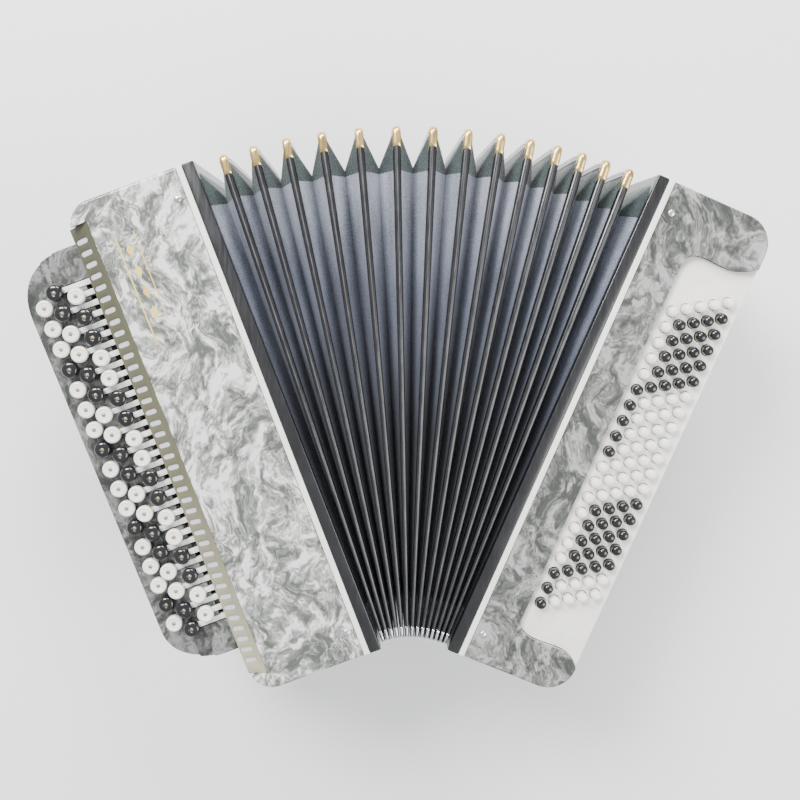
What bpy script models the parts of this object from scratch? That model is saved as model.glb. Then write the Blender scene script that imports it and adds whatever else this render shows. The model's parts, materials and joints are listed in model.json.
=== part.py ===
"""Button accordion of the bayan type: 52 treble buttons in three rows, 100 bass buttons in five.

It lies on its back with the bellows fanned open at the top. X points right, Y towards the top end of
the instrument and Z towards its front. Each side has a frame of its own: x across, y along the casing
from its middle, z up from the back. On the treble side x points into the bellows, so the casing and
the finger board lie at negative x. On the bass side x points out of the bellows.
"""

import math

import bmesh
import bpy
import numpy as np
from mathutils import Matrix, Vector

MM = 0.001
GAP = 0.3 * MM  # left between neighbours that touch on the real instrument

# Driving dimensions of the two sides
FAN_HALF_ANGLE = math.radians(21.65)  # between each side and the line down the middle of the fan
CASE_LENGTH = 416 * MM
CASE_DEPTH = 205 * MM
CASE_FOOT = 104.8 * MM  # from the fan's centre to the lower end of each casing
CASE_WALL = 5 * MM
TREBLE_WIDTH = 95 * MM
BASS_WIDTH = 92.5 * MM
TREBLE_CORNER = 20 * MM
BASS_CORNER = 24 * MM

# The white binding and the black frame by which the bellows plug into each casing
BINDING_EDGE = 2.5 * MM
BINDING_WALL = 5.1 * MM
FRAME_OUT = 3 * MM
FRAME_IN = 12.4 * MM
FRAME_WALL = 12 * MM
LIP_REACH = 12 * MM
LIP_INSET = 5.4 * MM
LIP_WALL = 6 * MM

# Pins that hold each bellows frame in its casing
PIN_X = 9 * MM
PIN_Y = 184.5 * MM
PIN_RADIUS = 1.4 * MM
PIN_HEAD = 3 * MM
PIN_HEAD_HIGH = 1.5 * MM
PIN_FLOOR = 196.3 * MM
LIP_CUT_FLOOR = 190 * MM
PIN_END_Z = 60 * MM

# Bellows
FOLDS = 15
PITCH_CLOSED = 3.8 * MM
RIDGE_THICK = 3 * MM
RIDGE_WIDE = 6 * MM
RIDGE_INSET = 2.5 * MM
RIDGE_CORNER = 5 * MM
SKIN_CORNER = 3 * MM
VALLEY_INSET = 31 * MM
SKIN_THICK = 2 * MM
OPEN_VARIATION = 0.235  # how much wider the folds in the middle stand than the mean
WIDEST_FOLD = 5.9

# Treble keyboard
TREBLE_PITCH = 17.25 * MM
TREBLE_MIDDLE = 5.3 * MM  # the button rows and the board sit this far above the casing's middle
BUTTON_RADIUS = 6.6 * MM
BUTTON_HEIGHT = 6 * MM
BUTTON_SIDES = 6
STEM_RADIUS = 2.3 * MM
LEVER_WIDE = 4.5 * MM
AXLE_X = -76 * MM
AXLE_Z = 176 * MM
AXLE_RADIUS = 1.5 * MM
BOARD_OUTER = 156.7 * MM
BOARD_LENGTH = 353.6 * MM
BOARD_FLOOR = 148 * MM
CAVITY_FLOOR = 158 * MM
CAVITY_TOP = 172 * MM
SLOT_WIDE = 5.4 * MM
SOUNDBOARD_TOP = 160 * MM
SOUNDBOARD_THICK = 4 * MM
COVER_FLOOR = 199.9 * MM
WALL_TOP = 163.5 * MM
TREBLE_ROWS = {
    # button x, count, terrace, lever floor and thickness, button floor, pallet x, slot end
    "outer": dict(x=-141.7, count=17, terrace=178, lever=166, thick=3.5, cap=182.3, pallet=-60, slot=0),
    "middle": dict(
        x=-128.9, count=18, terrace=181.5, lever=177.8, thick=2.6, cap=186, pallet=-46, slot=-134.5
    ),
    "inner": dict(x=-113, count=17, terrace=185, lever=183.2, thick=3, cap=189, pallet=-26, slot=-118.6),
}
TERRACE_EDGES = (-133 * MM, -120.6 * MM)
TRENCH_EDGE = -104.5 * MM

# Grille strip along the outer edge of the treble front
STRIP_WINDOWS = 39
STRIP_PITCH = 9.5 * MM
STRIP_LENGTH = 385 * MM
STRIP_INNER = 81 * MM
STRIP_OUTER = 98 * MM
STRIP_DROP = 11 * MM
STRIP_THICK = 3.2 * MM
STRIP_SEAT = 188 * MM
WINDOW_WIDE = 4 * MM
WINDOW_EDGE = 1.4 * MM  # from the strip's outer edge to the windows
WINDOW_LONG = 10.8 * MM

# Bass keyboard
BASS_COLUMNS = 5
BASS_ROW = 20
BASS_PITCH = 13.6 * MM
BASS_COLUMN_STEP = 9.7 * MM
BASS_FIRST_COLUMN = 43 * MM
BASS_MIDDLE = -13.7 * MM
BASS_STAGGER = 5.9 * MM
BASS_BUTTON_RADIUS = 4.2 * MM
BASS_BUTTON_TOP = 208 * MM
BASS_HOLE_RADIUS = 4.75 * MM
BASS_BUTTON_SIDES = 6
BASS_RAIL_FLOOR = 186 * MM
BASS_RAIL_THICK = 3 * MM
BASS_RAIL_WIDE = 5 * MM
PANEL_TOP = 199.7 * MM
PANEL_THICK = 4 * MM
PANEL_EDGE = 33.6 * MM
AIR_BUTTON_Y = 120 * MM
AIR_BUTTON_Z = 160 * MM
AIR_BUTTON_RADIUS = 7 * MM

COLOURS = {
    "pearl": ((0.78, 0.79, 0.80), 0.25, 0.0),
    "binding": ((0.88, 0.87, 0.84), 0.35, 0.0),
    "frame": ((0.02, 0.02, 0.022), 0.35, 0.0),
    "tape": ((0.015, 0.015, 0.018), 0.3, 0.0),
    "cloth": ((0.06, 0.075, 0.10), 0.75, 0.0),
    "cream": ((0.72, 0.66, 0.53), 0.45, 0.0),
    "strip": ((0.50, 0.46, 0.34), 0.5, 0.0),
    "lining": ((0.36, 0.36, 0.42), 0.9, 0.0),
    "buttons": ((0.85, 0.83, 0.78), 0.3, 0.0),
    "metal": ((0.72, 0.72, 0.72), 0.3, 1.0),
    "wood": ((0.50, 0.33, 0.18), 0.6, 0.0),
    "felt": ((0.55, 0.12, 0.10), 0.95, 0.0),
    "leather": ((0.03, 0.028, 0.026), 0.6, 0.0),
}


# ---------------------------------------------------------------- helpers


def clear_scene():
    for obj in list(bpy.data.objects):
        bpy.data.objects.remove(obj, do_unlink=True)


def material(name, finish):
    made = bpy.data.materials.new(name)
    made.use_nodes = True
    shader = made.node_tree.nodes["Principled BSDF"]
    colour, roughness, metallic = COLOURS[finish]
    shader.inputs["Base Color"].default_value = (*colour, 1)
    shader.inputs["Roughness"].default_value = roughness
    shader.inputs["Metallic"].default_value = metallic
    return made


def empty(name, location, turn, parent):
    """A frame turned about Z, placed in its parent's frame."""
    made = bpy.data.objects.new(name, None)
    bpy.context.collection.objects.link(made)
    made.empty_display_size = 20 * MM
    made.location = location
    made.rotation_euler = (0, 0, turn)
    made.parent = parent
    return made


def object_from(name, bm, parent, finish, smooth=False):
    bmesh.ops.recalc_face_normals(bm, faces=bm.faces)
    mesh = bpy.data.meshes.new(name)
    bm.to_mesh(mesh)
    bm.free()
    obj = bpy.data.objects.new(name, mesh)
    bpy.context.collection.objects.link(obj)
    obj.parent = parent
    if finish:
        mesh.materials.append(material(name, finish))
    if smooth:
        mesh.shade_smooth()
        mesh.set_sharp_from_angle(angle=math.radians(40))
    return obj


def add_prism(bm, outline, low, high, axes="xyz"):
    """Extrude a closed outline from low to high. axes names the outline's two axes, then the third."""
    order = ["xyz".index(a) for a in axes]

    def place(a, b, c):
        point = [0, 0, 0]
        for index, value in zip(order, (a, b, c)):
            point[index] = value
        return point

    floor = [bm.verts.new(place(a, b, low)) for a, b in outline]
    roof = [bm.verts.new(place(a, b, high)) for a, b in outline]
    count = len(outline)
    bm.faces.new(floor)
    bm.faces.new(roof)
    for i in range(count):
        j = (i + 1) % count
        bm.faces.new((floor[i], floor[j], roof[j], roof[i]))


def rectangle(x0, x1, y0, y1):
    return [(x0, y0), (x1, y0), (x1, y1), (x0, y1)]


def polygon(x, y, radius, sides):
    """A regular polygon with a flat side facing each neighbour along y."""
    turn = math.pi / sides
    angles = [turn + 2 * math.pi * i / sides for i in range(sides)]
    return [(x + radius * math.cos(a), y + radius * math.sin(a)) for a in angles]


def bezier(a, b, c, d, steps):
    """Points along one cubic curve, without its last."""
    points = []
    for i in range(steps):
        t = i / steps
        s = 1 - t
        weights = (s**3, 3 * s * s * t, 3 * s * t * t, t**3)
        points.append(tuple(sum(w * p[k] for w, p in zip(weights, (a, b, c, d))) for k in (0, 1)))
    return points


def arc(x, y, radius, start, end, steps):
    """Points along an arc between two angles in degrees, both ends included."""
    angles = np.radians(np.linspace(start, end, steps + 1))
    return [(x + radius * math.cos(a), y + radius * math.sin(a)) for a in angles]


def side_outline(inner, outer, half, corner, steps=4):
    """A casing's outline seen from the front: square at the bellows, round corners at its outer side."""
    way = 1 if outer > inner else -1
    centre = outer - way * corner
    top = arc(0, half - corner, corner, 90, 0, steps)
    points = [(inner, -half), (inner, half)]
    points += [(centre + way * x, y) for x, y in top]
    points += [(centre + way * x, -y) for x, y in reversed(top)]
    return points


def prism(name, outline, low, high, parent, finish, axes="xyz", smooth=False):
    bm = bmesh.new()
    add_prism(bm, outline, low, high, axes)
    return object_from(name, bm, parent, finish, smooth)


def tool(name, prisms, parent):
    """A hidden operand for a Boolean, made of (outline, low, high, axes) prisms."""
    bm = bmesh.new()
    for outline, low, high, axes in prisms:
        add_prism(bm, outline, low, high, axes)
    obj = object_from(name, bm, parent, None)
    obj.hide_render = True
    obj.display_type = "WIRE"
    return obj


def combine(obj, operation, name, prisms):
    operand = tool(name, prisms, obj.parent)
    modifier = obj.modifiers.new(name, "BOOLEAN")
    modifier.operation = operation
    modifier.object = operand
    modifier.solver = "EXACT"
    return obj


def cut(obj, prisms):
    return combine(obj, "DIFFERENCE", f"{obj.name}_cut_{len(obj.modifiers)}", prisms)


def weld(obj, prisms):
    return combine(obj, "UNION", f"{obj.name}_add_{len(obj.modifiers)}", prisms)


def ring_loop(half, low, high, inset, corner):
    """A rectangle in y and z, inset evenly from its outer size, with cut corners."""
    y = half - inset
    z0 = low + inset
    z1 = high - inset
    c = corner
    return [
        (y, z0 + c), (y, z1 - c), (y - c, z1), (-y + c, z1),
        (-y, z1 - c), (-y, z0 + c), (-y + c, z0), (y - c, z0),
    ]  # fmt: skip


def ring(name, profile, parent, finish, corner=0.5 * MM, half=CASE_LENGTH / 2, low=0, high=CASE_DEPTH):
    """A rectangular ring, swept from a closed profile of (x, inset) points."""
    bm = bmesh.new()
    loops = []
    for x, inset in profile:
        loops.append([bm.verts.new((x, y, z)) for y, z in ring_loop(half, low, high, inset, corner)])
    for first, second in zip(loops, loops[1:] + loops[:1]):
        for i in range(len(first)):
            j = (i + 1) % len(first)
            bm.faces.new((first[i], first[j], second[j], second[i]))
    return object_from(name, bm, parent, finish)


def row_places(middle, pitch, count):
    return [middle + pitch * (i - (count - 1) / 2) for i in range(count)]


# ---------------------------------------------------------------- parts shared by both sides


def bellows_joint(side, parent, inward):
    """The binding on a casing's edge, and the bellows frame whose lip plugs into the casing.

    inward is +1 where x points into the bellows and -1 where it points out of them.
    """
    binding = [
        (-inward * (BINDING_EDGE - GAP), 0),
        (inward * (FRAME_OUT - GAP), 0),
        (inward * (FRAME_OUT - GAP), BINDING_WALL),
        (-inward * (BINDING_EDGE - GAP), BINDING_WALL),
    ]
    ring(f"{side}_binding", binding, parent, "binding")
    frame = [
        (inward * FRAME_OUT, 0),
        (inward * FRAME_IN, 0),
        (inward * FRAME_IN, FRAME_WALL),
        (-inward * LIP_REACH, FRAME_WALL),
        (-inward * LIP_REACH, LIP_INSET),
        (inward * FRAME_OUT, LIP_INSET),
    ]
    frame_ring = ring(f"{side}_bellows_frame", frame, parent, "frame")
    x = -inward * PIN_X
    holes = []
    for place, y in (("upper", PIN_Y), ("lower", -PIN_Y)):
        hole = polygon(x, y, PIN_RADIUS + 2 * GAP, 6)
        holes.append((hole, LIP_CUT_FLOOR, CASE_DEPTH + MM, "xyz"))
        shank = polygon(x, y, PIN_RADIUS, 6)
        pin = prism(f"{side}_front_pin_{place}", shank, PIN_FLOOR, CASE_DEPTH + GAP, parent, "metal")
        head = polygon(x, y, PIN_HEAD, 8)
        weld(pin, [(head, CASE_DEPTH + GAP / 2, CASE_DEPTH + PIN_HEAD_HIGH, "xyz")])
    for place, way in (("upper", 1), ("lower", -1)):
        end = way * CASE_LENGTH / 2
        reach = way * (CASE_LENGTH / 2 - LIP_INSET - LIP_WALL / 2)
        top = end + way * PIN_HEAD_HIGH
        hole = polygon(x, PIN_END_Z, PIN_RADIUS + 2 * GAP, 6)
        low, high = sorted((reach - way * MM, end + way * MM))
        holes.append((hole, low, high, "xzy"))
        low, high = sorted((reach, end + way * GAP))
        pin = prism(f"{side}_end_pin_{place}", polygon(x, PIN_END_Z, PIN_RADIUS, 6), low, high, parent,
                    "metal", "xzy")
        low, high = sorted((end + way * GAP / 2, top))
        weld(pin, [(polygon(x, PIN_END_Z, PIN_HEAD, 8), low, high, "xzy")])
    cut(frame_ring, holes)
    return holes


def reed_block(name, outline, low, high, parent, chambers, chamber_wide, chamber_deep, open_axis):
    """A wooden block with a row of open reed chambers along y."""
    block = prism(name, outline, low, high, parent, "wood")
    xs = [x for x, _ in outline]
    ys = [y for _, y in outline]
    middle = (min(ys) + max(ys)) / 2
    pitch = (max(ys) - min(ys)) / chambers
    wall = 2 * MM
    cells = []
    for y in row_places(middle, pitch, chambers):
        y0 = y - chamber_wide / 2
        y1 = y + chamber_wide / 2
        if open_axis == "z":
            outline = rectangle(min(xs) + wall, max(xs) - wall, y0, y1)
            cells.append((outline, high - chamber_deep, high + MM, "xyz"))
        else:
            low_x = max(xs) - chamber_deep
            cells.append((rectangle(low_x, max(xs) + MM, y0, y1), low + wall, high - wall, "xyz"))
    return cut(block, cells)


# ---------------------------------------------------------------- treble side


def treble_casing(side, pin_holes):
    outline = side_outline(-BINDING_EDGE, -TREBLE_WIDTH, CASE_LENGTH / 2, TREBLE_CORNER)
    casing = prism("treble_casing", outline, 0, COVER_FLOOR - GAP, side, "pearl")
    hollow = side_outline(MM, -(TREBLE_WIDTH - CASE_WALL), CASE_LENGTH / 2 - CASE_WALL,
                          TREBLE_CORNER - CASE_WALL)
    cut(casing, [(hollow, CASE_WALL, CASE_DEPTH, "xyz")])
    half = BOARD_LENGTH / 2 - 6 * MM
    gate = rectangle(-TREBLE_WIDTH - MM, -(TREBLE_WIDTH - CASE_WALL) + MM,
                     TREBLE_MIDDLE - half, TREBLE_MIDDLE + half)
    cut(casing, [(gate, WALL_TOP, CASE_DEPTH, "xyz")] + [h for h in pin_holes if h[3] == "xzy"])
    seat = rectangle(-TREBLE_WIDTH - MM, -(TREBLE_WIDTH - CASE_WALL) + MM,
                     -STRIP_LENGTH / 2 - MM, STRIP_LENGTH / 2 + MM)
    cut(casing, [(seat, STRIP_SEAT, CASE_DEPTH, "xyz")])

    cover = prism("treble_front_cover", outline, COVER_FLOOR, CASE_DEPTH, side, "pearl")
    notch = rectangle(-TREBLE_WIDTH - 5 * MM, -(STRIP_INNER - GAP),
                      -STRIP_LENGTH / 2 - GAP, STRIP_LENGTH / 2 + GAP)
    cut(cover, [(notch, COVER_FLOOR - MM, CASE_DEPTH + MM, "xyz")] + [h for h in pin_holes if h[3] == "xyz"])


def treble_grille(side):
    """The slotted strip slopes down from the front to the finger board, with a lining behind it."""
    def slope(shift, x):
        share = (x - STRIP_INNER) / (STRIP_OUTER - STRIP_INNER)
        return CASE_DEPTH - STRIP_DROP * share - shift

    def band(x0, x1, top, bottom):
        face = [(-x, slope(top, x)) for x in (x0, x1)]
        return face + [(-x, slope(bottom, x)) for x in (x1, x0)]

    half = STRIP_LENGTH / 2
    strip = prism("treble_grille_strip", band(STRIP_INNER, STRIP_OUTER, 0, STRIP_THICK), -half, half, side,
                  "strip", "xzy")
    windows = []
    for y in row_places(0, STRIP_PITCH, STRIP_WINDOWS):
        low = -STRIP_OUTER + WINDOW_EDGE
        outline = rectangle(low, low + WINDOW_LONG, y - WINDOW_WIDE / 2, y + WINDOW_WIDE / 2)
        windows.append((outline, CASE_DEPTH - 30 * MM, CASE_DEPTH + MM, "xyz"))
    cut(strip, windows)
    lining = band(STRIP_INNER + MM, STRIP_OUTER - MM, STRIP_THICK + GAP, STRIP_THICK + GAP + MM)
    prism("treble_grille_lining", lining, -half + 2 * MM, half - 2 * MM, side, "lining", "xzy")


def board_outline():
    """The finger board's outline from the front: its upper end is cut rounder than its lower end."""
    inner = -(TREBLE_WIDTH + GAP)
    outer = -BOARD_OUTER
    top = TREBLE_MIDDLE + BOARD_LENGTH / 2
    foot = TREBLE_MIDDLE - BOARD_LENGTH / 2
    points = [(inner, foot), (inner, top)]
    points += bezier((-112 * MM, top), (-138 * MM, top), (outer, top - 14 * MM), (outer, top - 44 * MM), 6)
    points.append((outer, top - 44 * MM))
    start = (outer, foot + 34 * MM)
    points += bezier(start, (outer, foot + 12 * MM), (-136 * MM, foot), (-112 * MM, foot), 6)
    points.append((-112 * MM, foot))
    return points


def treble_finger_board(side):
    rows = TREBLE_ROWS
    top = rows["inner"]["terrace"] * MM
    board = prism("treble_finger_board", board_outline(), BOARD_FLOOR, top, side, "pearl")
    outer, middle = TERRACE_EDGES
    for name, edge in (("middle", middle), ("outer", outer)):
        step = rectangle(-BOARD_OUTER - MM, edge, -BOARD_LENGTH, BOARD_LENGTH)
        cut(board, [(step, rows[name]["terrace"] * MM, top + MM, "xyz")])
    top += MM
    foot = TREBLE_MIDDLE - BOARD_LENGTH / 2
    end = foot + BOARD_LENGTH
    hollow = rectangle(-BOARD_OUTER + 6 * MM, -TREBLE_WIDTH + MM, foot + 24 * MM, end - 24 * MM)
    cut(board, [(hollow, CAVITY_FLOOR, CAVITY_TOP, "xyz")])
    reach = TREBLE_PITCH * (rows["middle"]["count"] - 1) / 2 + SLOT_WIDE / 2
    trench = rectangle(TRENCH_EDGE, -TREBLE_WIDTH + MM, TREBLE_MIDDLE - reach, TREBLE_MIDDLE + reach)
    cut(board, [(trench, CAVITY_TOP - MM / 2, top, "xyz")])
    slots = []
    for row in rows.values():
        for y in row_places(TREBLE_MIDDLE, TREBLE_PITCH, row["count"]):
            if row["slot"]:
                low, high = y - SLOT_WIDE / 2, y + SLOT_WIDE / 2
                outline = rectangle(row["slot"] * MM, -TREBLE_WIDTH + MM, low, high)
            else:
                outline = polygon(row["x"] * MM, y, STEM_RADIUS + 2 * MM, 6)
            slots.append((outline, CAVITY_TOP - MM / 2, top, "xyz"))
    cut(board, slots)


def treble_row(name, row, instrument, side):
    """One row of levers and buttons, and the pallets that they lift, turning on the lever axle."""
    axle = side.matrix_basis @ Vector((AXLE_X, 0, AXLE_Z))
    pivot = empty(f"treble_{name}_axis", axle, side.rotation_euler.z, instrument)
    places = row_places(TREBLE_MIDDLE, TREBLE_PITCH, row["count"])
    half = LEVER_WIDE / 2
    x_button = row["x"] * MM - AXLE_X
    x_tip = x_button - 3 * MM
    x_rail = row["pallet"] * MM - AXLE_X
    outline = [(x_rail + 3 * MM, places[0] - half), (x_rail + 3 * MM, places[-1] + half)]
    for y in reversed(places):
        outline += [(x_tip, y + half), (x_tip, y - half)]
        if y != places[0]:
            outline += [(x_rail - 3 * MM, y - half), (x_rail - 3 * MM, y - TREBLE_PITCH + half)]
    floor = row["lever"] * MM - AXLE_Z
    roof = floor + row["thick"] * MM
    cap = row["cap"] * MM - AXLE_Z
    keys = prism(f"treble_keys_{name}", outline, floor, roof, pivot, "buttons")
    stems = [(polygon(x_button, y, STEM_RADIUS, 4), roof - MM, cap + MM, "xyz") for y in places]
    caps = []
    for y in places:
        caps.append((polygon(x_button, y, BUTTON_RADIUS, BUTTON_SIDES), cap, cap + BUTTON_HEIGHT, "xyz"))
    weld(keys, stems)
    weld(keys, caps)
    pallet = rectangle(x_rail - 2 * MM, x_rail + 2 * MM, places[0] - half, places[-1] + half)
    foot = SOUNDBOARD_TOP + GAP - AXLE_Z
    rail = prism(f"treble_pallets_{name}", pallet, foot, floor - GAP, pivot, "felt")
    pad = rectangle(x_rail - 5 * MM, x_rail + 5 * MM, places[0] - half - MM, places[-1] + half + MM)
    weld(rail, [(pad, foot, foot + 2.5 * MM, "xyz")])


def treble_inside(side):
    room = CASE_LENGTH / 2 - CASE_WALL - GAP
    board = rectangle(-(TREBLE_WIDTH - CASE_WALL - GAP), -(LIP_REACH + MM), -room + 16 * MM, room - 16 * MM)
    floor = SOUNDBOARD_TOP - SOUNDBOARD_THICK
    soundboard = prism("treble_soundboard", board, floor, SOUNDBOARD_TOP, side, "wood")
    holes = []
    for row in TREBLE_ROWS.values():
        x = row["pallet"] * MM
        for y in row_places(TREBLE_MIDDLE, 2 * TREBLE_PITCH, row["count"] // 2):
            holes.append((rectangle(x - 3 * MM, x + 3 * MM, y - 10 * MM, y + 10 * MM), 0, CASE_DEPTH, "xyz"))
    cut(soundboard, holes)
    for i, x in enumerate((-66 * MM, -33 * MM), start=1):
        outline = rectangle(x - 14 * MM, x + 14 * MM, -160 * MM, 160 * MM)
        reed_block(f"treble_reed_block_{i}", outline, 96 * MM, floor - GAP, side, 9, 28 * MM, 50 * MM, "z")
    reach = CASE_LENGTH / 2 - CASE_WALL - MM
    prism("treble_lever_axle", polygon(AXLE_X, AXLE_Z, AXLE_RADIUS, 8), -reach, reach, side, "metal", "xzy")


def strap_bracket(name, side, way):
    """A metal loop for a shoulder strap, standing on an end of the casing near its back."""
    end = way * (CASE_LENGTH / 2 + GAP)
    tip = end + way * 6 * MM
    outline = rectangle(-62 * MM, -34 * MM, 14 * MM, 34 * MM)
    low, high = sorted((end, tip))
    plate = prism(name, outline, low, high, side, "metal", "xzy")
    slot = rectangle(-58 * MM, -38 * MM, 0, 50 * MM)
    low, high = sorted((end + way * 1.5 * MM, end + way * 4.2 * MM))
    cut(plate, [(slot, low, high, "xzy")])


def treble_side(instrument, place):
    side = empty("treble_side", place, FAN_HALF_ANGLE, instrument)
    pin_holes = bellows_joint("treble", side, 1)
    treble_casing(side, pin_holes)
    treble_grille(side)
    treble_finger_board(side)
    treble_inside(side)
    for name, row in TREBLE_ROWS.items():
        treble_row(name, row, instrument, side)
    strap_bracket("shoulder_strap_bracket_upper", side, 1)
    strap_bracket("shoulder_strap_bracket_lower", side, -1)
    return side


# ---------------------------------------------------------------- bellows


def fold_shares():
    """How much of the fan's angle each fold takes, widest near the middle."""
    waves = [
        1 + OPEN_VARIATION * math.cos(2 * math.pi * (i - WIDEST_FOLD) / FOLDS) for i in range(1, FOLDS + 1)
    ]
    return [w / sum(waves) for w in waves]


def station_profile():
    """The skin's zigzag as (station, inset) for ridges at whole stations and valleys between them."""
    points = [(0, RIDGE_WIDE + 2 * MM)]
    for i in range(FOLDS):
        points.append((i + 0.5, VALLEY_INSET))
        peak = RIDGE_WIDE + RIDGE_INSET + 4 * GAP
        points.append((i + 1, peak))
    return points


def bellows(instrument, treble, half_angle):
    """Fourteen ridges hinged one after another at the lower end, with one folded skin inside them."""
    angle = 2 * half_angle
    half = CASE_LENGTH / 2
    inner = treble.matrix_basis @ Vector((FRAME_IN, -half + RIDGE_INSET, 0))
    turn = FAN_HALF_ANGLE
    parent = instrument
    step_angles = [angle * share for share in fold_shares()]
    base = Matrix.Translation(inner) @ Matrix.Rotation(turn, 4, "Z")
    frames = [base]
    profile = [
        (-RIDGE_THICK / 2, RIDGE_INSET + MM),
        (-RIDGE_THICK / 4, RIDGE_INSET),
        (RIDGE_THICK / 4, RIDGE_INSET),
        (RIDGE_THICK / 2, RIDGE_INSET + MM),
        (RIDGE_THICK / 2, RIDGE_INSET + RIDGE_WIDE),
        (-RIDGE_THICK / 2, RIDGE_INSET + RIDGE_WIDE),
    ]
    world = base
    parent_world = Matrix.Identity(4)
    for i, step in enumerate(step_angles, start=1):
        pivot = world @ Matrix.Translation((PITCH_CLOSED / 2, 0, 0)) @ Matrix.Rotation(-step, 4, "Z")
        world = pivot @ Matrix.Translation((PITCH_CLOSED / 2, 0, 0))
        frames.append(world)
        if i == FOLDS:
            break
        local = parent_world.inverted() @ pivot
        pivot_empty = empty(f"bellows_fold_{i:02d}_axis", local.translation, local.to_euler().z, parent)
        shifted = [(x + PITCH_CLOSED / 2, inset) for x, inset in profile]
        ridge = ring(f"bellows_ridge_{i:02d}", shifted, pivot_empty, "tape", RIDGE_CORNER)
        ridge.location = (0, half - RIDGE_INSET, 0)
        parent = pivot_empty
        parent_world = pivot
    skin_frames(instrument, frames, half)
    return frames


def skin_frames(instrument, frames, half):
    """The folded skin: an outer and an inner zigzag of rectangular loops, joined at both ends."""
    def loop(station, inset):
        first = frames[int(station)]
        middle = Vector((GAP if station == 0 else 0, half - RIDGE_INSET, 0))
        if station == FOLDS:
            middle.x = -GAP
        corners = []
        for y, z in ring_loop(half, 0, CASE_DEPTH, inset, SKIN_CORNER):
            here = first @ (Vector((0, y, z)) + middle)
            if station != int(station):
                there = frames[int(station) + 1] @ (Vector((0, y, z)) + middle)
                here = (here + there) / 2
            corners.append(here)
        return corners

    outer = [loop(station, inset) for station, inset in station_profile()]
    inner = [loop(station, inset + SKIN_THICK) for station, inset in station_profile()]
    bm = bmesh.new()
    loops = [[bm.verts.new(p) for p in points] for points in outer + inner[::-1]]
    for first, second in zip(loops, loops[1:] + loops[:1]):
        for i in range(len(first)):
            j = (i + 1) % len(first)
            bm.faces.new((first[i], first[j], second[j], second[i]))
    bmesh.ops.triangulate(bm, faces=bm.faces, quad_method="SHORT_EDGE")
    return object_from("bellows_skin", bm, instrument, "cloth")


# ---------------------------------------------------------------- bass side


def panel_outline(grow, beyond):
    """The cream panel's outline: straight towards the bellows, an S-curve at each end.

    grow widens it all round, and beyond lengthens it past the casing's outer face.
    """
    left = PANEL_EDGE - grow
    right = BASS_WIDTH
    top = 163.4 * MM + grow
    foot = -172.8 * MM - grow
    points = bezier((left, 148 * MM), (left, 160 * MM), (40 * MM, top), (50 * MM, top), 4)
    points += bezier((50 * MM, top), (65 * MM, top), (75 * MM, top - 4 * MM), (right, top + 8.6 * MM), 4)
    points += [(right, top + 8.6 * MM), (right + beyond, top + 8.6 * MM)]
    points += [(right + beyond, foot - 10 * MM), (right, foot - 10 * MM)]
    end = (right, foot - 10 * MM)
    points += bezier(end, (82 * MM, foot + 5 * MM), (70 * MM, foot), (54 * MM, foot), 4)[1:]
    points += bezier((54 * MM, foot), (42 * MM, foot), (left, foot + 4 * MM), (left, -160.7 * MM), 4)
    points.append((left, -160.7 * MM))
    return points


def bass_casing(side, pin_holes):
    outline = side_outline(BINDING_EDGE, BASS_WIDTH, CASE_LENGTH / 2, BASS_CORNER)
    casing = prism("bass_casing", outline, 0, CASE_DEPTH, side, "pearl")
    hollow = side_outline(-MM, BASS_WIDTH - CASE_WALL, CASE_LENGTH / 2 - CASE_WALL, BASS_CORNER - CASE_WALL)
    cut(casing, [(hollow, CASE_WALL, CASE_DEPTH - CASE_WALL, "xyz")])
    opening = panel_outline(2 * GAP, 5 * MM)
    cut(casing, [(opening, PANEL_TOP - PANEL_THICK - GAP, CASE_DEPTH + MM, "xyz")])
    air_hole = polygon(AIR_BUTTON_Y, AIR_BUTTON_Z, AIR_BUTTON_RADIUS + 0.6 * MM, 8)
    cut(casing, pin_holes + [(air_hole, BASS_WIDTH - 8 * MM, BASS_WIDTH + MM, "yzx")])


def bass_rows(instrument, side):
    for k in range(BASS_COLUMNS):
        x = BASS_FIRST_COLUMN + k * BASS_COLUMN_STEP
        middle = BASS_MIDDLE + k * BASS_STAGGER
        origin = empty(f"bass_row_{k + 1}_slide", side.matrix_basis @ Vector((x, middle, BASS_RAIL_FLOOR)),
                       side.rotation_euler.z, instrument)
        places = row_places(0, BASS_PITCH, BASS_ROW)
        half = BASS_RAIL_WIDE / 2
        rail = rectangle(-half, half, places[0] - half, places[-1] + half)
        row = prism(f"bass_buttons_row_{k + 1}", rail, 0, BASS_RAIL_THICK, origin, "buttons")
        top = BASS_BUTTON_TOP - BASS_RAIL_FLOOR
        pins = []
        for y in places:
            outline = polygon(0, y, BASS_BUTTON_RADIUS, BASS_BUTTON_SIDES)
            pins.append((outline, BASS_RAIL_THICK - MM, top, "xyz"))
        weld(row, pins)


def bass_panel(side):
    panel = prism("bass_button_panel", panel_outline(0, MM / 10), PANEL_TOP - PANEL_THICK, PANEL_TOP, side,
                  "cream")
    holes = []
    for k in range(BASS_COLUMNS):
        x = BASS_FIRST_COLUMN + k * BASS_COLUMN_STEP
        for y in row_places(BASS_MIDDLE + k * BASS_STAGGER, BASS_PITCH, BASS_ROW):
            outline = polygon(x, y, BASS_HOLE_RADIUS, BASS_BUTTON_SIDES)
            holes.append((outline, PANEL_TOP - 2 * PANEL_THICK, CASE_DEPTH, "xyz"))
    cut(panel, holes)


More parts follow.
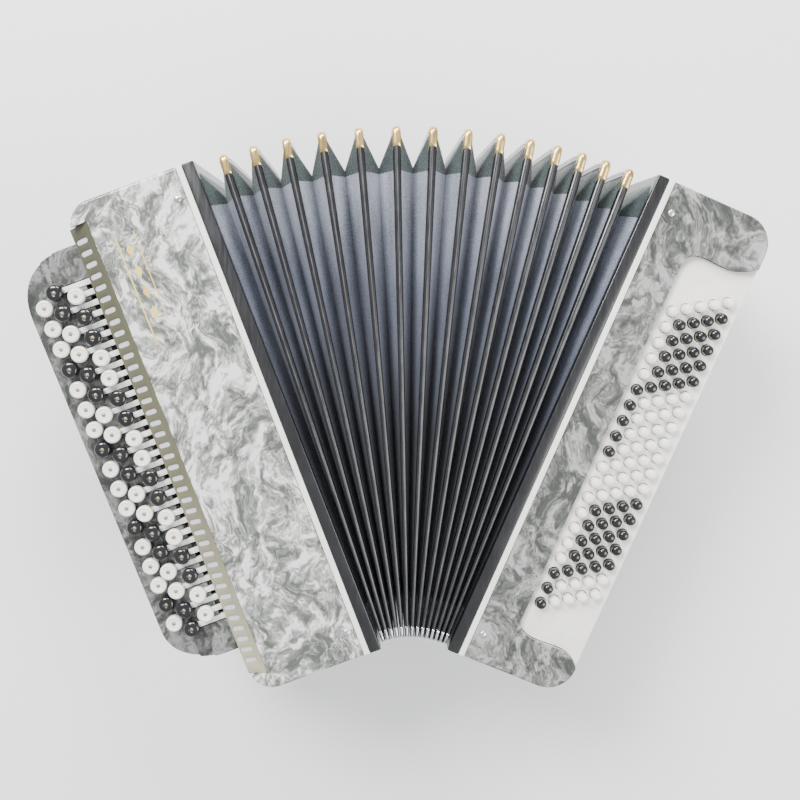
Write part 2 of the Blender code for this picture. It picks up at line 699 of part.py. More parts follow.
def bass_inside(side):
    room = CASE_LENGTH / 2 - CASE_WALL - GAP
    board = rectangle(44 * MM, 48 * MM, -room + 20 * MM, room - 20 * MM)
    soundboard = prism("bass_soundboard", board, CASE_WALL + GAP, 180 * MM, side, "wood")
    holes = []
    for z in (55 * MM, 125 * MM):
        for y in row_places(0, 26 * MM, 12):
            holes.append((rectangle(y - 8 * MM, y + 8 * MM, z - 6 * MM, z + 6 * MM), 0, BASS_WIDTH, "yzx"))
    cut(soundboard, holes)
    for i, z in enumerate((55 * MM, 125 * MM), start=1):
        outline = rectangle(16 * MM, 44 * MM - GAP, -156 * MM, 156 * MM)
        reed_block(f"bass_reed_block_{i}", outline, z - 14 * MM, z + 14 * MM, side, 6, 40 * MM, 22 * MM, "x")


def bass_strap(instrument, side):
    """The hand strap along the outer face, its lower plate, its wheel and the air button."""
    outer = BASS_WIDTH + GAP
    half = 165 * MM
    rise = 19 * MM
    thick = 3 * MM
    steps = 12

    def line(offset):
        points = []
        for i in range(steps + 1):
            y = -half + 2 * half * i / steps
            points.append((outer + offset + rise * math.sin(math.pi * i / steps) ** 0.8, y))
        return points

    outline = line(0) + line(thick)[::-1]
    prism("bass_strap", outline, 60 * MM, 128 * MM, side, "leather")
    plate = [(outer, -half - GAP), (outer, -half - 16 * MM), (outer + thick, -half - 14 * MM),
             (outer + thick, -half - GAP)]
    prism("bass_strap_anchor", plate, 70 * MM, 118 * MM, side, "metal")
    end = CASE_LENGTH / 2
    centre = Vector((60 * MM, end + GAP, 94 * MM))
    axis = empty("bass_strap_wheel_axis", side.matrix_basis @ centre, side.rotation_euler.z, instrument)
    prism("bass_strap_wheel", polygon(0, 0, 11 * MM, 16), 0, 3 * MM, axis, "metal", "xzy")
    place = Vector((BASS_WIDTH, AIR_BUTTON_Y, AIR_BUTTON_Z))
    slide = empty("air_button_slide", side.matrix_basis @ place, side.rotation_euler.z, instrument)
    face = polygon(0, 0, AIR_BUTTON_RADIUS, 8)
    button = prism("air_button", face, -8 * MM, 8 * MM, slide, "buttons", "yzx")
    flange = polygon(0, 0, AIR_BUTTON_RADIUS + 3 * MM, 8)
    weld(button, [(flange, -(CASE_WALL + GAP + 3 * MM), -(CASE_WALL + GAP), "yzx")])


def bass_side(instrument, place):
    side = empty("bass_side", place, -FAN_HALF_ANGLE, instrument)
    pin_holes = bellows_joint("bass", side, -1)
    bass_casing(side, pin_holes)
    bass_panel(side)
    bass_rows(instrument, side)
    bass_inside(side)
    bass_strap(instrument, side)
    return side


# ---------------------------------------------------------------- the instrument


def centre_on_floor(instrument):
    """Move the whole instrument so that its box stands centred on the origin."""
    bpy.context.view_layer.update()
    graph = bpy.context.evaluated_depsgraph_get()
    corners = []
    for obj in bpy.data.objects:
        if obj.type != "MESH" or obj.hide_render:
            continue
        mesh = obj.evaluated_get(graph).to_mesh()
        corners += [obj.matrix_world @ v.co for v in mesh.vertices]
    points = np.array(corners)
    low = points.min(axis=0)
    high = points.max(axis=0)
    middle = (low + high) / 2
    instrument.location = (-middle[0], -middle[1], -low[2])
    bpy.context.view_layer.update()


def main():
    clear_scene()
    instrument = empty("instrument", (0, 0, 0), 0, None)
    reach = CASE_FOOT + CASE_LENGTH / 2
    up = Vector((math.sin(FAN_HALF_ANGLE), math.cos(FAN_HALF_ANGLE), 0)) * reach
    treble = treble_side(instrument, Vector((-up.x, up.y, 0)))
    bpy.context.view_layer.update()
    bellows(instrument, treble, FAN_HALF_ANGLE)
    bass_side(instrument, Vector((up.x, up.y, 0)))
    centre_on_floor(instrument)


main()
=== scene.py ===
"""Looks of the button accordion: pearl casings, turned buttons, folded bellows cloth and trim.

Most sizes repeat those of the CAD part, and a few are slightly larger. Places come from the packed
joints, so every piece is built in the frame of the side or ridge that it belongs to: x across, y along
the casing, z up from the back.
"""

import json
import math

import bmesh
import bpy
import numpy as np
from mathutils import Matrix, Vector


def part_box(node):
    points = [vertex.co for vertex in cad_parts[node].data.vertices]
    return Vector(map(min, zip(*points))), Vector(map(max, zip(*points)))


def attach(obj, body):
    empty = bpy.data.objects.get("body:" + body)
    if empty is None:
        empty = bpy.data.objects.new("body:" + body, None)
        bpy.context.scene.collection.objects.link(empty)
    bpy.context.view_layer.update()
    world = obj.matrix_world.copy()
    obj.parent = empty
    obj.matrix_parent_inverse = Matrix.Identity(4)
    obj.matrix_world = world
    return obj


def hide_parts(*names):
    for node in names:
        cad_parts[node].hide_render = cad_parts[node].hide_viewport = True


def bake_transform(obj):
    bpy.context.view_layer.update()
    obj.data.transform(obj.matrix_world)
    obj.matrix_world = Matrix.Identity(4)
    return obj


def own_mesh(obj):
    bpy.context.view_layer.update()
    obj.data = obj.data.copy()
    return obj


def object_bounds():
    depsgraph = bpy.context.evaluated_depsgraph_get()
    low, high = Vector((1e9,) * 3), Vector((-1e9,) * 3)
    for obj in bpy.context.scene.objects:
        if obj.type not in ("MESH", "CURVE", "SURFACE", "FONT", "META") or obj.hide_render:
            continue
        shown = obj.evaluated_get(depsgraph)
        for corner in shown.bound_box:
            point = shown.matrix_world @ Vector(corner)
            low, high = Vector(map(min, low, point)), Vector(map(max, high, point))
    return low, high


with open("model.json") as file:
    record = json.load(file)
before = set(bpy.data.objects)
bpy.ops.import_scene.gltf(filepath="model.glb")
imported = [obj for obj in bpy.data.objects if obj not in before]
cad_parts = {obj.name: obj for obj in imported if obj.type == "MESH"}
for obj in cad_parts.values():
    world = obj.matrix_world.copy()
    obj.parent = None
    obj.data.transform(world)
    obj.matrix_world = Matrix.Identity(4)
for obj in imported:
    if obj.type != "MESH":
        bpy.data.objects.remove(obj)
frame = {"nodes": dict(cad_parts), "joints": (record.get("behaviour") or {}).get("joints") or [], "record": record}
CAD_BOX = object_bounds()

MM = 0.001
GAP = 0.3 * MM

# Casings
CASE_LENGTH = 416 * MM
CASE_HALF = CASE_LENGTH / 2
CASE_DEPTH = 205 * MM
CASE_WALL = 5 * MM
TREBLE_WIDTH = 95 * MM
BASS_WIDTH = 92.5 * MM
TREBLE_CORNER = 20 * MM
BASS_CORNER = 24 * MM
BINDING_EDGE = 2.5 * MM
COVER_FLOOR = 199.9 * MM
WALL_TOP = 163.5 * MM
STRIP_SEAT = 188 * MM
FRAME_IN = 12.4 * MM
FRAME_CORNER = 0.8 * MM

# Bellows
FOLDS = 15
PITCH_CLOSED = 3.8 * MM
RIDGE_THICK = 3.2 * MM  # at the foot, slightly wider than the CAD ridge
RIDGE_THICK_TIP = 6.4 * MM  # at the tip, as the tapes widen upwards
RIDGE_CORNER = 5 * MM
RIDGE_WIDE = 6 * MM
RIDGE_INSET = 2.5 * MM
VALLEY_INSET = 31 * MM
GUSSET_REACH = 36 * MM

# Treble keyboard
AXLE_X = -76 * MM
TREBLE_PITCH = 17.25 * MM
TREBLE_MIDDLE = 5.3 * MM
BUTTON_RADIUS = 6.7 * MM  # slightly wider than the CAD button
LEVER_WIDE = 4.5 * MM
BOARD_OUTER = 156.7 * MM
BOARD_LENGTH = 353.6 * MM
BOARD_FLOOR = 148 * MM
CAVITY_FLOOR = 158 * MM
CAVITY_TOP = 172 * MM
SLOT_WIDE = 5.6 * MM  # slightly wider than the CAD slot
TERRACE_EDGES = (-133 * MM, -120.6 * MM)
TRENCH_EDGE = -104.5 * MM
TREBLE_ROWS = {
    "outer": dict(x=-141.7, count=17, terrace=178, lever=166, thick=3.5, cap=182.3, tail=-57, slot=0),
    "middle": dict(x=-128.9, count=18, terrace=181.5, lever=177.8, thick=2.6, cap=186, tail=-43, slot=-134.5),
    "inner": dict(x=-113, count=17, terrace=185, lever=183.2, thick=3, cap=189, tail=-23, slot=-118.6),
}
RAISED_BAR_TOP = 184.2 * MM  # the middle levers are thicker outside the casing
RAISED_BAR_END = -84 * MM
# One letter for each button from the upper end down: w is white and b is black
TREBLE_COLOURS = {
    "outer": "wwwb" * 4 + "w",
    "middle": "bbww" * 4 + "bb",
    "inner": "wbbw" * 4 + "w",
}

# Grille strip
STRIP_WINDOWS = 39
STRIP_PITCH = 9.5 * MM
STRIP_LENGTH = 385 * MM
STRIP_INNER = 81 * MM
STRIP_OUTER = 98 * MM
STRIP_DROP = 11 * MM
STRIP_THICK = 3.2 * MM
WINDOW_EDGE = 1.4 * MM  # from the strip's outer edge to the windows
WINDOW_LONG = 10.8 * MM
WINDOW_WIDE = 4.2 * MM  # slightly wider than the CAD window
PAD_EDGE = 0.15 * MM  # between a pad of the lining and its window

# Bass keyboard
BASS_COLUMNS = 5
BASS_ROW = 20
BASS_PITCH = 13.6 * MM
BASS_COLUMN_STEP = 9.7 * MM
BASS_FIRST_COLUMN = 43 * MM
BASS_MIDDLE = -13.7 * MM
BASS_STAGGER = 5.9 * MM
BASS_BUTTON_RADIUS = 4.2 * MM
BASS_BUTTON_TOP = 208 * MM
BASS_BUTTON_FOOT = 189 * MM
BASS_HOLE_RADIUS = 4.8 * MM  # slightly wider than the CAD hole
AIR_BUTTON = (120 * MM, 160 * MM)  # y and z
AIR_BUTTON_RADIUS = 7 * MM
PANEL_TOP = 199.7 * MM
PANEL_THICK = 4 * MM
PANEL_EDGE = 33.6 * MM
BASS_COLOURS = ["wwwwwbbbbbwwwwwwwbbb"] + ["wbbbbbwwwwwwwbbbbbww"] * 4

# Room and camera
FLOOR_REACH = 6.0
FLOOR_TOP = -0.5 * MM
VIEW_DISTANCE = 0.803
VIEW_TILT = math.radians(6.7)
VIEW_TURN = math.radians(-2.0)
VIEW_ROLL = math.radians(1.46)
LENS = 45.6


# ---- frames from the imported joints

JOINTS = {j["name"]: j for j in frame["joints"]}
RATIOS = {c["joint"]: c["ratio"] for c in frame["record"]["behaviour"]["couplings"]}


def axes(x, y, origin):
    """A frame with the given x and y directions in the plane, at origin."""
    made = Matrix.Identity(4)
    made.col[0][:3] = x
    made.col[1][:3] = y
    made.col[3][:3] = origin
    return made


def side_frames():
    press = JOINTS["treble_press_inner"]
    y = -Vector(press["axis"])
    x = Vector((y.y, -y.x, 0))
    origin = Vector(press["pos_m"]) - x * AXLE_X
    origin.z = 0
    treble = axes(x, y, origin)
    middle = JOINTS["bellows_fold"]["pos_m"][0]
    mirrored = Vector((2 * middle - origin.x, origin.y, 0))
    bass = axes(Vector((x.x, -x.y, 0)), Vector((-y.x, y.y, 0)), mirrored)
    return treble, bass


TREBLE, BASS = side_frames()


def ridge_frames():
    """The frame of each of the bellows' stations, from the treble frame's face to the bass frame's."""
    fan = math.radians(-JOINTS["bellows_fold"]["range_deg"][0])
    turn = math.atan2(TREBLE.col[0][1], TREBLE.col[0][0])
    foot = -CASE_HALF + RIDGE_INSET
    stations = [TREBLE @ Matrix.Translation((FRAME_IN, foot, 0))]
    for i in range(1, FOLDS):
        name = f"bellows_fold_{i:02d}"
        turn -= fan * RATIOS[name]
        pivot = Matrix.Translation(JOINTS[name]["pos_m"]) @ Matrix.Rotation(turn, 4, "Z")
        stations.append(pivot @ Matrix.Translation((PITCH_CLOSED / 2, 0, 0)))
    stations.append(BASS @ Matrix.Translation((-FRAME_IN, foot, 0)))
    return stations


STATIONS = ridge_frames()
RIDGE_LENGTH = CASE_LENGTH - 2 * RIDGE_INSET


# ---- materials


def new_material(name, colour, roughness, metallic=0.0, coat=0.0, sheen=0.0):
    made = bpy.data.materials.new(name)
    made.use_nodes = True
    tree = made.node_tree
    shader = tree.nodes["Principled BSDF"]
    set_inputs(shader, {
        "Base Color": (*colour, 1), "Roughness": roughness, "Metallic": metallic,
        "Coat Weight": coat, "Coat Roughness": 0.08, "Sheen Weight": sheen,
    })
    coordinates = tree.nodes.new("ShaderNodeTexCoord")
    return made, tree, shader, coordinates.outputs["Object"]


def set_inputs(node, values):
    for name, value in values.items():
        node.inputs[name].default_value = value


def vector_node(tree, kind, vector, values):
    """A node of this kind, fed by vector, with these input values."""
    node = tree.nodes.new(kind)
    set_inputs(node, values)
    tree.links.new(vector, node.inputs["Vector"])
    return node


def mapped(tree, vector, scale, turn=(0, 0, 0)):
    values = {"Scale": scale, "Rotation": turn}
    return vector_node(tree, "ShaderNodeMapping", vector, values).outputs["Vector"]


def noise(tree, vector, scale, detail=4.0, distortion=0.0):
    values = {"Scale": scale, "Detail": detail, "Distortion": distortion}
    return vector_node(tree, "ShaderNodeTexNoise", vector, values).outputs["Fac"]


def cells(tree, vector, scale):
    return vector_node(tree, "ShaderNodeTexVoronoi", vector, {"Scale": scale}).outputs["Distance"]


def ramp(tree, value, stops):
    """Colours or greys along value: stops are (place, colour)."""
    node = tree.nodes.new("ShaderNodeValToRGB")
    elements = node.color_ramp.elements
    while len(elements) < len(stops):
        elements.new(0.5)
    for element, (place, colour) in zip(elements, stops):
        element.position = place
        element.color = (*colour, 1) if hasattr(colour, "__len__") else (colour, colour, colour, 1)
    tree.links.new(value, node.inputs["Fac"])
    return node.outputs["Color"]


def mix(tree, factor, a, b, blend="MIX"):
    node = tree.nodes.new("ShaderNodeMix")
    node.data_type = "RGBA"
    node.blend_type = blend
    for socket, value in ((node.inputs[0], factor), (node.inputs[6], a), (node.inputs[7], b)):
        if hasattr(value, "is_output"):
            tree.links.new(value, socket)
        elif socket.type == "RGBA":
            socket.default_value = (*value, 1)
        else:
            socket.default_value = value
    return node.outputs[2]


def bump(tree, shader, height, strength, distance):
    node = tree.nodes.new("ShaderNodeBump")
    set_inputs(node, {"Strength": strength, "Distance": distance})
    tree.links.new(height, node.inputs["Height"])
    tree.links.new(node.outputs["Normal"], shader.inputs["Normal"])


def colour_from(tree, shader, value):
    tree.links.new(value, shader.inputs["Base Color"])


def roughness_from(tree, shader, value):
    tree.links.new(value, shader.inputs["Roughness"])


def scaled_sum(tree, value, factor, added):
    """value times factor, plus added."""
    node = tree.nodes.new("ShaderNodeMath")
    node.operation = "MULTIPLY_ADD"
    node.inputs[1].default_value = factor
    tree.links.new(value, node.inputs[0])
    tree.links.new(added, node.inputs[2])
    return node.outputs["Value"]


def pearl(name, shade):
    """Grey-white celluloid: torn, streaked flakes of light and dark pearl under a clear gloss. shade scales every
    colour, and a copy with a lower shade than the treble's is painted shade.
    """
    made, tree, shader, place = new_material(name, (0.8, 0.8, 0.8), 0.22, coat=0.5)
    warp = vector_node(tree, "ShaderNodeTexNoise", place, {"Scale": 14, "Detail": 4})
    bent = tree.nodes.new("ShaderNodeVectorMath")
    bent.operation = "MULTIPLY_ADD"
    bent.inputs[1].default_value = (0.09, 0.09, 0.09)
    tree.links.new(warp.outputs["Color"], bent.inputs[0])
    tree.links.new(place, bent.inputs[2])
    torn = bent.outputs["Vector"]
    streaks = noise(tree, mapped(tree, torn, (1, 0.55, 1), (0, 0, 0.6)), 74, 9, 0.8)
    flecks = noise(tree, mapped(tree, torn, (1, 0.5, 1), (0, 0, -0.7)), 210, 6, 1.5)
    drift = noise(tree, place, 11, 3)
    mottle = scaled_sum(tree, drift, 0.2, scaled_sum(tree, flecks, 0.55, streaks))
    flakes = [
        (0.71, (0.10, 0.108, 0.095)), (0.79, (0.20, 0.21, 0.19)), (0.86, (0.34, 0.352, 0.325)),
        (0.92, (0.54, 0.55, 0.52)), (0.99, (0.86, 0.87, 0.84)),
    ]
    stops = [(at, tuple(shade * c for c in tone)) for at, tone in flakes]
    colour_from(tree, shader, ramp(tree, mottle, stops))
    roughness_from(tree, shader, ramp(tree, streaks, [(0.3, 0.32), (0.7, 0.16)]))
    bump(tree, shader, noise(tree, place, 12, 2), 0.05, 0.0004)
    return made


def plain_plastic(name, low, high, roughness, scale=60, grain=900, coat=0.2):
    """Moulded plastic: a faint cloud of colour, fine grain, and roughness that varies."""
    made, tree, shader, place = new_material(name, high, roughness, coat=coat)
    clouds = noise(tree, place, scale, 5, 0.4)
    colour_from(tree, shader, ramp(tree, clouds, [(0.3, low), (0.7, high)]))
    sheen = ramp(tree, clouds, [(0.3, roughness + 0.08), (0.7, roughness - 0.05)])
    roughness_from(tree, shader, sheen)
    bump(tree, shader, noise(tree, place, grain, 2), 0.08, 0.0002)
    return made


def lacquer(name, tint, roughness, coat=0.35):
    """Black gloss with the dust and fine scratches of use."""
    made, tree, shader, place = new_material(name, tint, roughness, coat=coat)
    scratches = noise(tree, mapped(tree, place, (1, 0.06, 1)), 700, 2)
    dust = noise(tree, place, 45, 6)
    light = tuple(min(1, c * 1.8 + 0.004) for c in tint)
    colour_from(tree, shader, ramp(tree, dust, [(0.42, tint), (0.8, light)]))
    worn = ramp(tree, scratches, [(0.35, roughness), (0.75, roughness + 0.2)])
    roughness_from(tree, shader, worn)
    bump(tree, shader, scratches, 0.06, 0.0001)
    return made


def along_height(tree, place, low, high):
    """0 to 1 along y between low and high."""
    split = tree.nodes.new("ShaderNodeSeparateXYZ")
    tree.links.new(place, split.inputs["Vector"])
    spread = tree.nodes.new("ShaderNodeMapRange")
    set_inputs(spread, {"From Min": low, "From Max": high})
    tree.links.new(split.outputs["Y"], spread.inputs["Value"])
    return spread.outputs["Result"]


def cloth_with_painted_light():
    """Coated cloth with a fine speckle, darker towards the bottom and paler towards the top: the height gradient
    is painted light and shade.
    """
    made, tree, shader, place = new_material("bellows_cloth", (0.1, 0.12, 0.16), 0.55, sheen=0.05)
    along = along_height(tree, place, CAD_BOX[0].y + 40 * MM, CAD_BOX[1].y)
    # Painted shade low in the folds and painted light towards the top: both ramps run from dark to light up the
    # height.
    dark = ramp(tree, along, [
        (0.0, (0.001, 0.0015, 0.002)), (0.45, (0.007, 0.009, 0.015)),
        (0.75, (0.04, 0.05, 0.075)), (1.0, (0.11, 0.125, 0.165)),
    ])
    light = ramp(tree, along, [
        (0.0, (0.003, 0.004, 0.006)), (0.4, (0.028, 0.034, 0.050)),
        (0.7, (0.24, 0.26, 0.33)), (1.0, (0.78, 0.80, 0.88)),
    ])
    speckle = noise(tree, place, 1500, 2)
    patches = noise(tree, mapped(tree, place, (1, 0.3, 1)), 40, 5)
    speckled = ramp(tree, speckle, [(0.42, 0.0), (0.6, 1.0)])
    grain = mix(tree, 0.45, speckled, ramp(tree, patches, [(0.3, 0.0), (0.7, 1.0)]))
    colour_from(tree, shader, mix(tree, grain, dark, light))
    pebbles = cells(tree, place, 900)
    roughness_from(tree, shader, ramp(tree, pebbles, [(0.1, 0.42), (0.6, 0.75)]))
    bump(tree, shader, ramp(tree, pebbles, [(0.05, 1.0), (0.65, 0.0)]), 0.5, 0.0004)
    return made


def pebbled_cloth(name, low, high, pebble, depth):
    """Coated bellows cloth: small round pebbles on an uneven ground."""
    made, tree, shader, place = new_material(name, high, 0.6, sheen=0.15)
    ground = noise(tree, place, 35, 5)
    pebbles = cells(tree, place, pebble)
    shade = mix(tree, 0.55, ramp(tree, ground, [(0.3, low), (0.75, high)]),
                ramp(tree, pebbles, [(0.1, high), (0.6, low)]))
    colour_from(tree, shader, shade)
    roughness_from(tree, shader, ramp(tree, pebbles, [(0.1, 0.42), (0.6, 0.8)]))
    bump(tree, shader, ramp(tree, pebbles, [(0.05, 1.0), (0.65, 0.0)]), 0.6, depth)
    return made


def metal(name, colour, roughness):
    """Drawn or plated metal: fine lines, faint stains."""
    made, tree, shader, place = new_material(name, colour, roughness, metallic=1.0)
    lines = noise(tree, mapped(tree, place, (1, 0.08, 1)), 900, 3)
    stains = noise(tree, place, 80, 5)
    dull = tuple(c * 0.72 for c in colour)
    colour_from(tree, shader, ramp(tree, stains, [(0.32, dull), (0.55, colour)]))
    drawn = ramp(tree, lines, [(0.3, roughness - 0.06), (0.7, roughness + 0.14)])
    roughness_from(tree, shader, drawn)
    bump(tree, shader, lines, 0.08, 0.0001)
    return made


def strip_plastic():
    """The slotted strip's plastic, beige towards its lower end and darker olive towards its upper: the darkening
    is painted shade.
    """
    made, tree, shader, place = new_material("strip_plastic", (0.5, 0.45, 0.34), 0.42, coat=0.25)
    low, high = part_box("treble_grille_strip")
    # Painted shade: the colour darkens from beige at the strip's lower end to dark olive at its upper.
    along = ramp(tree, along_height(tree, place, low.y, high.y),
                 [(0.0, (0.46, 0.43, 0.31)), (0.45, (0.15, 0.14, 0.085)), (1.0, (0.07, 0.068, 0.038))])
    colour = mix(tree, noise(tree, place, 90, 5), along, (0.42, 0.38, 0.27), "MULTIPLY")
    colour = mix(tree, 0.75, colour, along)
    colour_from(tree, shader, colour)
    bump(tree, shader, noise(tree, place, 500, 3), 0.1, 0.0002)
    return made


def weave(name, low, high, pitch):
    """Plain woven fabric: two crossing sets of threads."""
    made, tree, shader, place = new_material(name, high, 0.9, sheen=0.3)
    heights = []
    for turn in (0.3, 0.3 + math.pi / 2):
        along = mapped(tree, place, (1, 1, 1), (0, 0, turn))
        wave = vector_node(tree, "ShaderNodeTexWave", along, {"Scale": pitch, "Distortion": 0.6})
        heights.append(wave.outputs["Fac"])
    threads = mix(tree, 0.5, heights[0], heights[1])
    colour_from(tree, shader, ramp(tree, threads, [(0.25, low), (0.75, high)]))
    bump(tree, shader, threads, 0.5, 0.0003)
    return made


def leather(name, low, high):
    made, tree, shader, place = new_material(name, high, 0.5, coat=0.1)
    grain = cells(tree, place, 520)
    creases = noise(tree, mapped(tree, place, (1, 3, 1)), 40, 6, 0.8)
    pores = ramp(tree, grain, [(0.1, high), (0.6, low)])
    colour_from(tree, shader, mix(tree, 0.5, pores, ramp(tree, creases, [(0.35, low), (0.7, high)])))
    roughness_from(tree, shader, ramp(tree, creases, [(0.3, 0.62), (0.7, 0.42)]))
    bump(tree, shader, grain, 0.4, 0.0003)
    return made


def wood(name, low, high):
    made, tree, shader, place = new_material(name, high, 0.6)
    rings = noise(tree, mapped(tree, place, (9, 0.6, 9)), 30, 6, 1.2)
    colour_from(tree, shader, ramp(tree, rings, [(0.3, low), (0.7, high)]))
    bump(tree, shader, rings, 0.2, 0.0003)
    return made


def make_materials():
    return {
        "pearl": pearl("pearl_celluloid", 0.82),
        # The bass casing's copy is the same pearl, darkened as painted shade.
        "painted_shade_pearl": pearl("painted_shade_pearl_celluloid", 0.37),
        # The finger board's copy is the same pearl, darker still as painted shade.
        "board_painted_shade_pearl": pearl("board_painted_shade_pearl_celluloid", 0.25),
        "binding": plain_plastic("ivory_binding", (0.80, 0.785, 0.745), (0.90, 0.89, 0.86), 0.3),
        "frame": lacquer("black_frame_lacquer", (0.006, 0.006, 0.007), 0.25),
        "tape": lacquer("black_bellows_tape", (0.004, 0.004, 0.005), 0.2),
        "cloth": cloth_with_painted_light(),
        "gusset": pebbled_cloth("gusset_leather", (0.012, 0.022, 0.024), (0.07, 0.105, 0.105), 500, 0.0003),
        "end_cloth": pebbled_cloth("end_panel_cloth", (0.07, 0.085, 0.075), (0.20, 0.225, 0.20), 700, 0.0003),
        # Painted highlight: the lighter line down the crest of each tape.
        "painted_crest_highlight": plain_plastic("tape_crest_painted_highlight", (0.015, 0.015, 0.017), (0.09, 0.09, 0.095), 0.4),
        "cream": plain_plastic("cream_panel", (0.80, 0.77, 0.69), (0.86, 0.84, 0.77), 0.4),
        "gilt": plain_plastic("gilt_paint", (0.66, 0.44, 0.12), (0.80, 0.58, 0.22), 0.35),
        "brass": metal("dull_brass", (0.42, 0.36, 0.25), 0.38),
        "strip": strip_plastic(),
        "lining": weave("grille_lining", (0.50, 0.50, 0.54), (0.72, 0.72, 0.77), 420),
        "white": plain_plastic("button_white", (0.82, 0.80, 0.74), (0.93, 0.92, 0.88), 0.2, 120, 1200, 0.5),
        "black": lacquer("button_black", (0.003, 0.003, 0.0035), 0.1, 0.5),
        "lever": plain_plastic("lever_white", (0.86, 0.86, 0.83), (0.95, 0.95, 0.92), 0.35, 80, 900, 0.1),
        "steel": metal("plated_steel", (0.78, 0.78, 0.79), 0.22),
        "gold": metal("gold_plate", (0.80, 0.58, 0.24), 0.24),
        "wood": wood("light_wood", (0.36, 0.22, 0.11), (0.58, 0.40, 0.23)),
        "felt": weave("red_felt", (0.30, 0.05, 0.04), (0.58, 0.12, 0.10), 500),
        "leather": leather("black_leather", (0.012, 0.011, 0.010), (0.05, 0.045, 0.04)),
    }


MATERIALS = make_materials()


# ---- mesh helpers


def rectangle(x0, x1, y0, y1):
    return [(x0, y0), (x1, y0), (x1, y1), (x0, y1)]


def circle(x, y, radius, sides):
    angles = [2 * math.pi * i / sides for i in range(sides)]
    return [(x + radius * math.cos(a), y + radius * math.sin(a)) for a in angles]


def stadium(x, y, long, wide, steps=5):
    """A window with round ends, its long side along x."""
    radius = wide / 2
    reach = long / 2 - radius
    points = []
    for way, start in ((1, -90), (-1, 90)):
        for a in np.radians(np.linspace(start, start + 180, steps + 1)):
            points.append((x + way * reach + radius * math.cos(a), y + radius * math.sin(a)))
    return points


def bezier(a, b, c, d, steps):
    points = []
    for i in range(steps):
        t = i / steps
        s = 1 - t
        weights = (s**3, 3 * s * s * t, 3 * s * t * t, t**3)
        points.append(tuple(sum(w * p[k] for w, p in zip(weights, (a, b, c, d))) for k in (0, 1)))
    return points


def side_outline(inner, outer, half, corner, steps=14):
    way = 1 if outer > inner else -1
    centre = outer - way * corner
    angles = np.radians(np.linspace(90, 0, steps + 1))
    arc = [(corner * math.cos(a), half - corner + corner * math.sin(a)) for a in angles]
    points = [(inner, -half), (inner, half)]
    points += [(centre + way * x, y) for x, y in arc]
    points += [(centre + way * x, -y) for x, y in reversed(arc)]
    return points


def bridge(bm, first, second):
    """A ring of faces between two loops of the same length."""
    count = len(first)
    faces = []
    for i in range(count):
        j = (i + 1) % count
        faces.append(bm.faces.new((first[i], first[j], second[j], second[i])))
    return faces


def oriented(order, *values):
    """The point whose coordinates along the axes named in order are values."""
    return [values[order.index(axis)] for axis in "xyz"]


def add_prism(bm, outline, low, high, order="xyz"):
    floor = [bm.verts.new(oriented(order, a, b, low)) for a, b in outline]
    roof = [bm.verts.new(oriented(order, a, b, high)) for a, b in outline]
    bm.faces.new(floor)
    bm.faces.new(roof)
    bridge(bm, floor, roof)


def to_object(name, bm, keys):
    """An object in its own frame, still to be cut, rounded and placed."""
    bmesh.ops.recalc_face_normals(bm, faces=bm.faces)
    mesh = bpy.data.meshes.new(name)
    bm.to_mesh(mesh)
    bm.free()
    for key in keys:
        mesh.materials.append(MATERIALS[key])
    obj = bpy.data.objects.new(name, mesh)
    bpy.context.scene.collection.objects.link(obj)
    return obj


def place(obj, where, angle=40):
    """Move the mesh from the side's or ridge's frame into the row frame, and shade it."""
    obj.data.transform(where)
    obj.data.shade_smooth()
    obj.data.set_sharp_from_angle(angle=math.radians(angle))
    return obj


def cut(obj, *shapes):
    """Take prisms that don't overlap each other away from obj."""
    bm = bmesh.new()
    for shape in shapes:
        add_prism(bm, *shape)
    cutter = to_object(f"{obj.name}_cutter", bm, [])
    modifier = obj.modifiers.new("cut", "BOOLEAN")
    modifier.operation = "DIFFERENCE"
    modifier.solver = "EXACT"
    modifier.object = cutter
    graph = bpy.context.evaluated_depsgraph_get()
    made = bpy.data.meshes.new_from_object(obj.evaluated_get(graph))
    obj.modifiers.clear()
    obj.data = made
    bpy.data.objects.remove(cutter)
    return obj


def round_edges(obj, width, segments=3, chosen=None, least=38):
    """Round the sharp edges, or only those whose middle point is chosen."""
    bm = bmesh.new()
    bm.from_mesh(obj.data)
    bmesh.ops.remove_doubles(bm, verts=bm.verts, dist=0.00002)
    bmesh.ops.dissolve_degenerate(bm, edges=bm.edges, dist=0.00002)
    picked = []
    for edge in bm.edges:
        if len(edge.link_faces) != 2 or edge.calc_face_angle(0) < math.radians(least):
            continue
        middle = (edge.verts[0].co + edge.verts[1].co) / 2
        if chosen is None or chosen(middle):
            picked.append(edge)
    bmesh.ops.bevel(bm, geom=picked, offset=width, segments=segments, profile=0.5, affect="EDGES",
                    clamp_overlap=True)
    bm.to_mesh(obj.data)
    bm.free()
    return obj


def prism(name, outline, low, high, key, order="xyz"):
    bm = bmesh.new()
    add_prism(bm, outline, low, high, order)
    return to_object(name, bm, [key])


def turned(name, profile, places, keys, sides, order="xyz"):
    """One piece of equal turned solids at places, from (radius, height, material index) points.

    places are (x, y, z) of each one's foot, and order says which way they stand.
    """
    bm = bmesh.new()
    ring = circle(0, 0, 1, sides)
    for foot in places:
        loops = []
        for radius, height, _ in profile:
            loop = []
            for x, y in ring:
                shift = oriented(order, radius * x, radius * y, height)
                loop.append(bm.verts.new([p + q for p, q in zip(foot, shift)]))
            loops.append(loop)
        for k, (first, second) in enumerate(zip(loops, loops[1:])):
            for face in bridge(bm, first, second):
                face.material_index = profile[k + 1][2]
        bm.faces.new(loops[0]).material_index = profile[0][2]
        bm.faces.new(loops[-1]).material_index = profile[-1][2]
    return to_object(name, bm, keys)


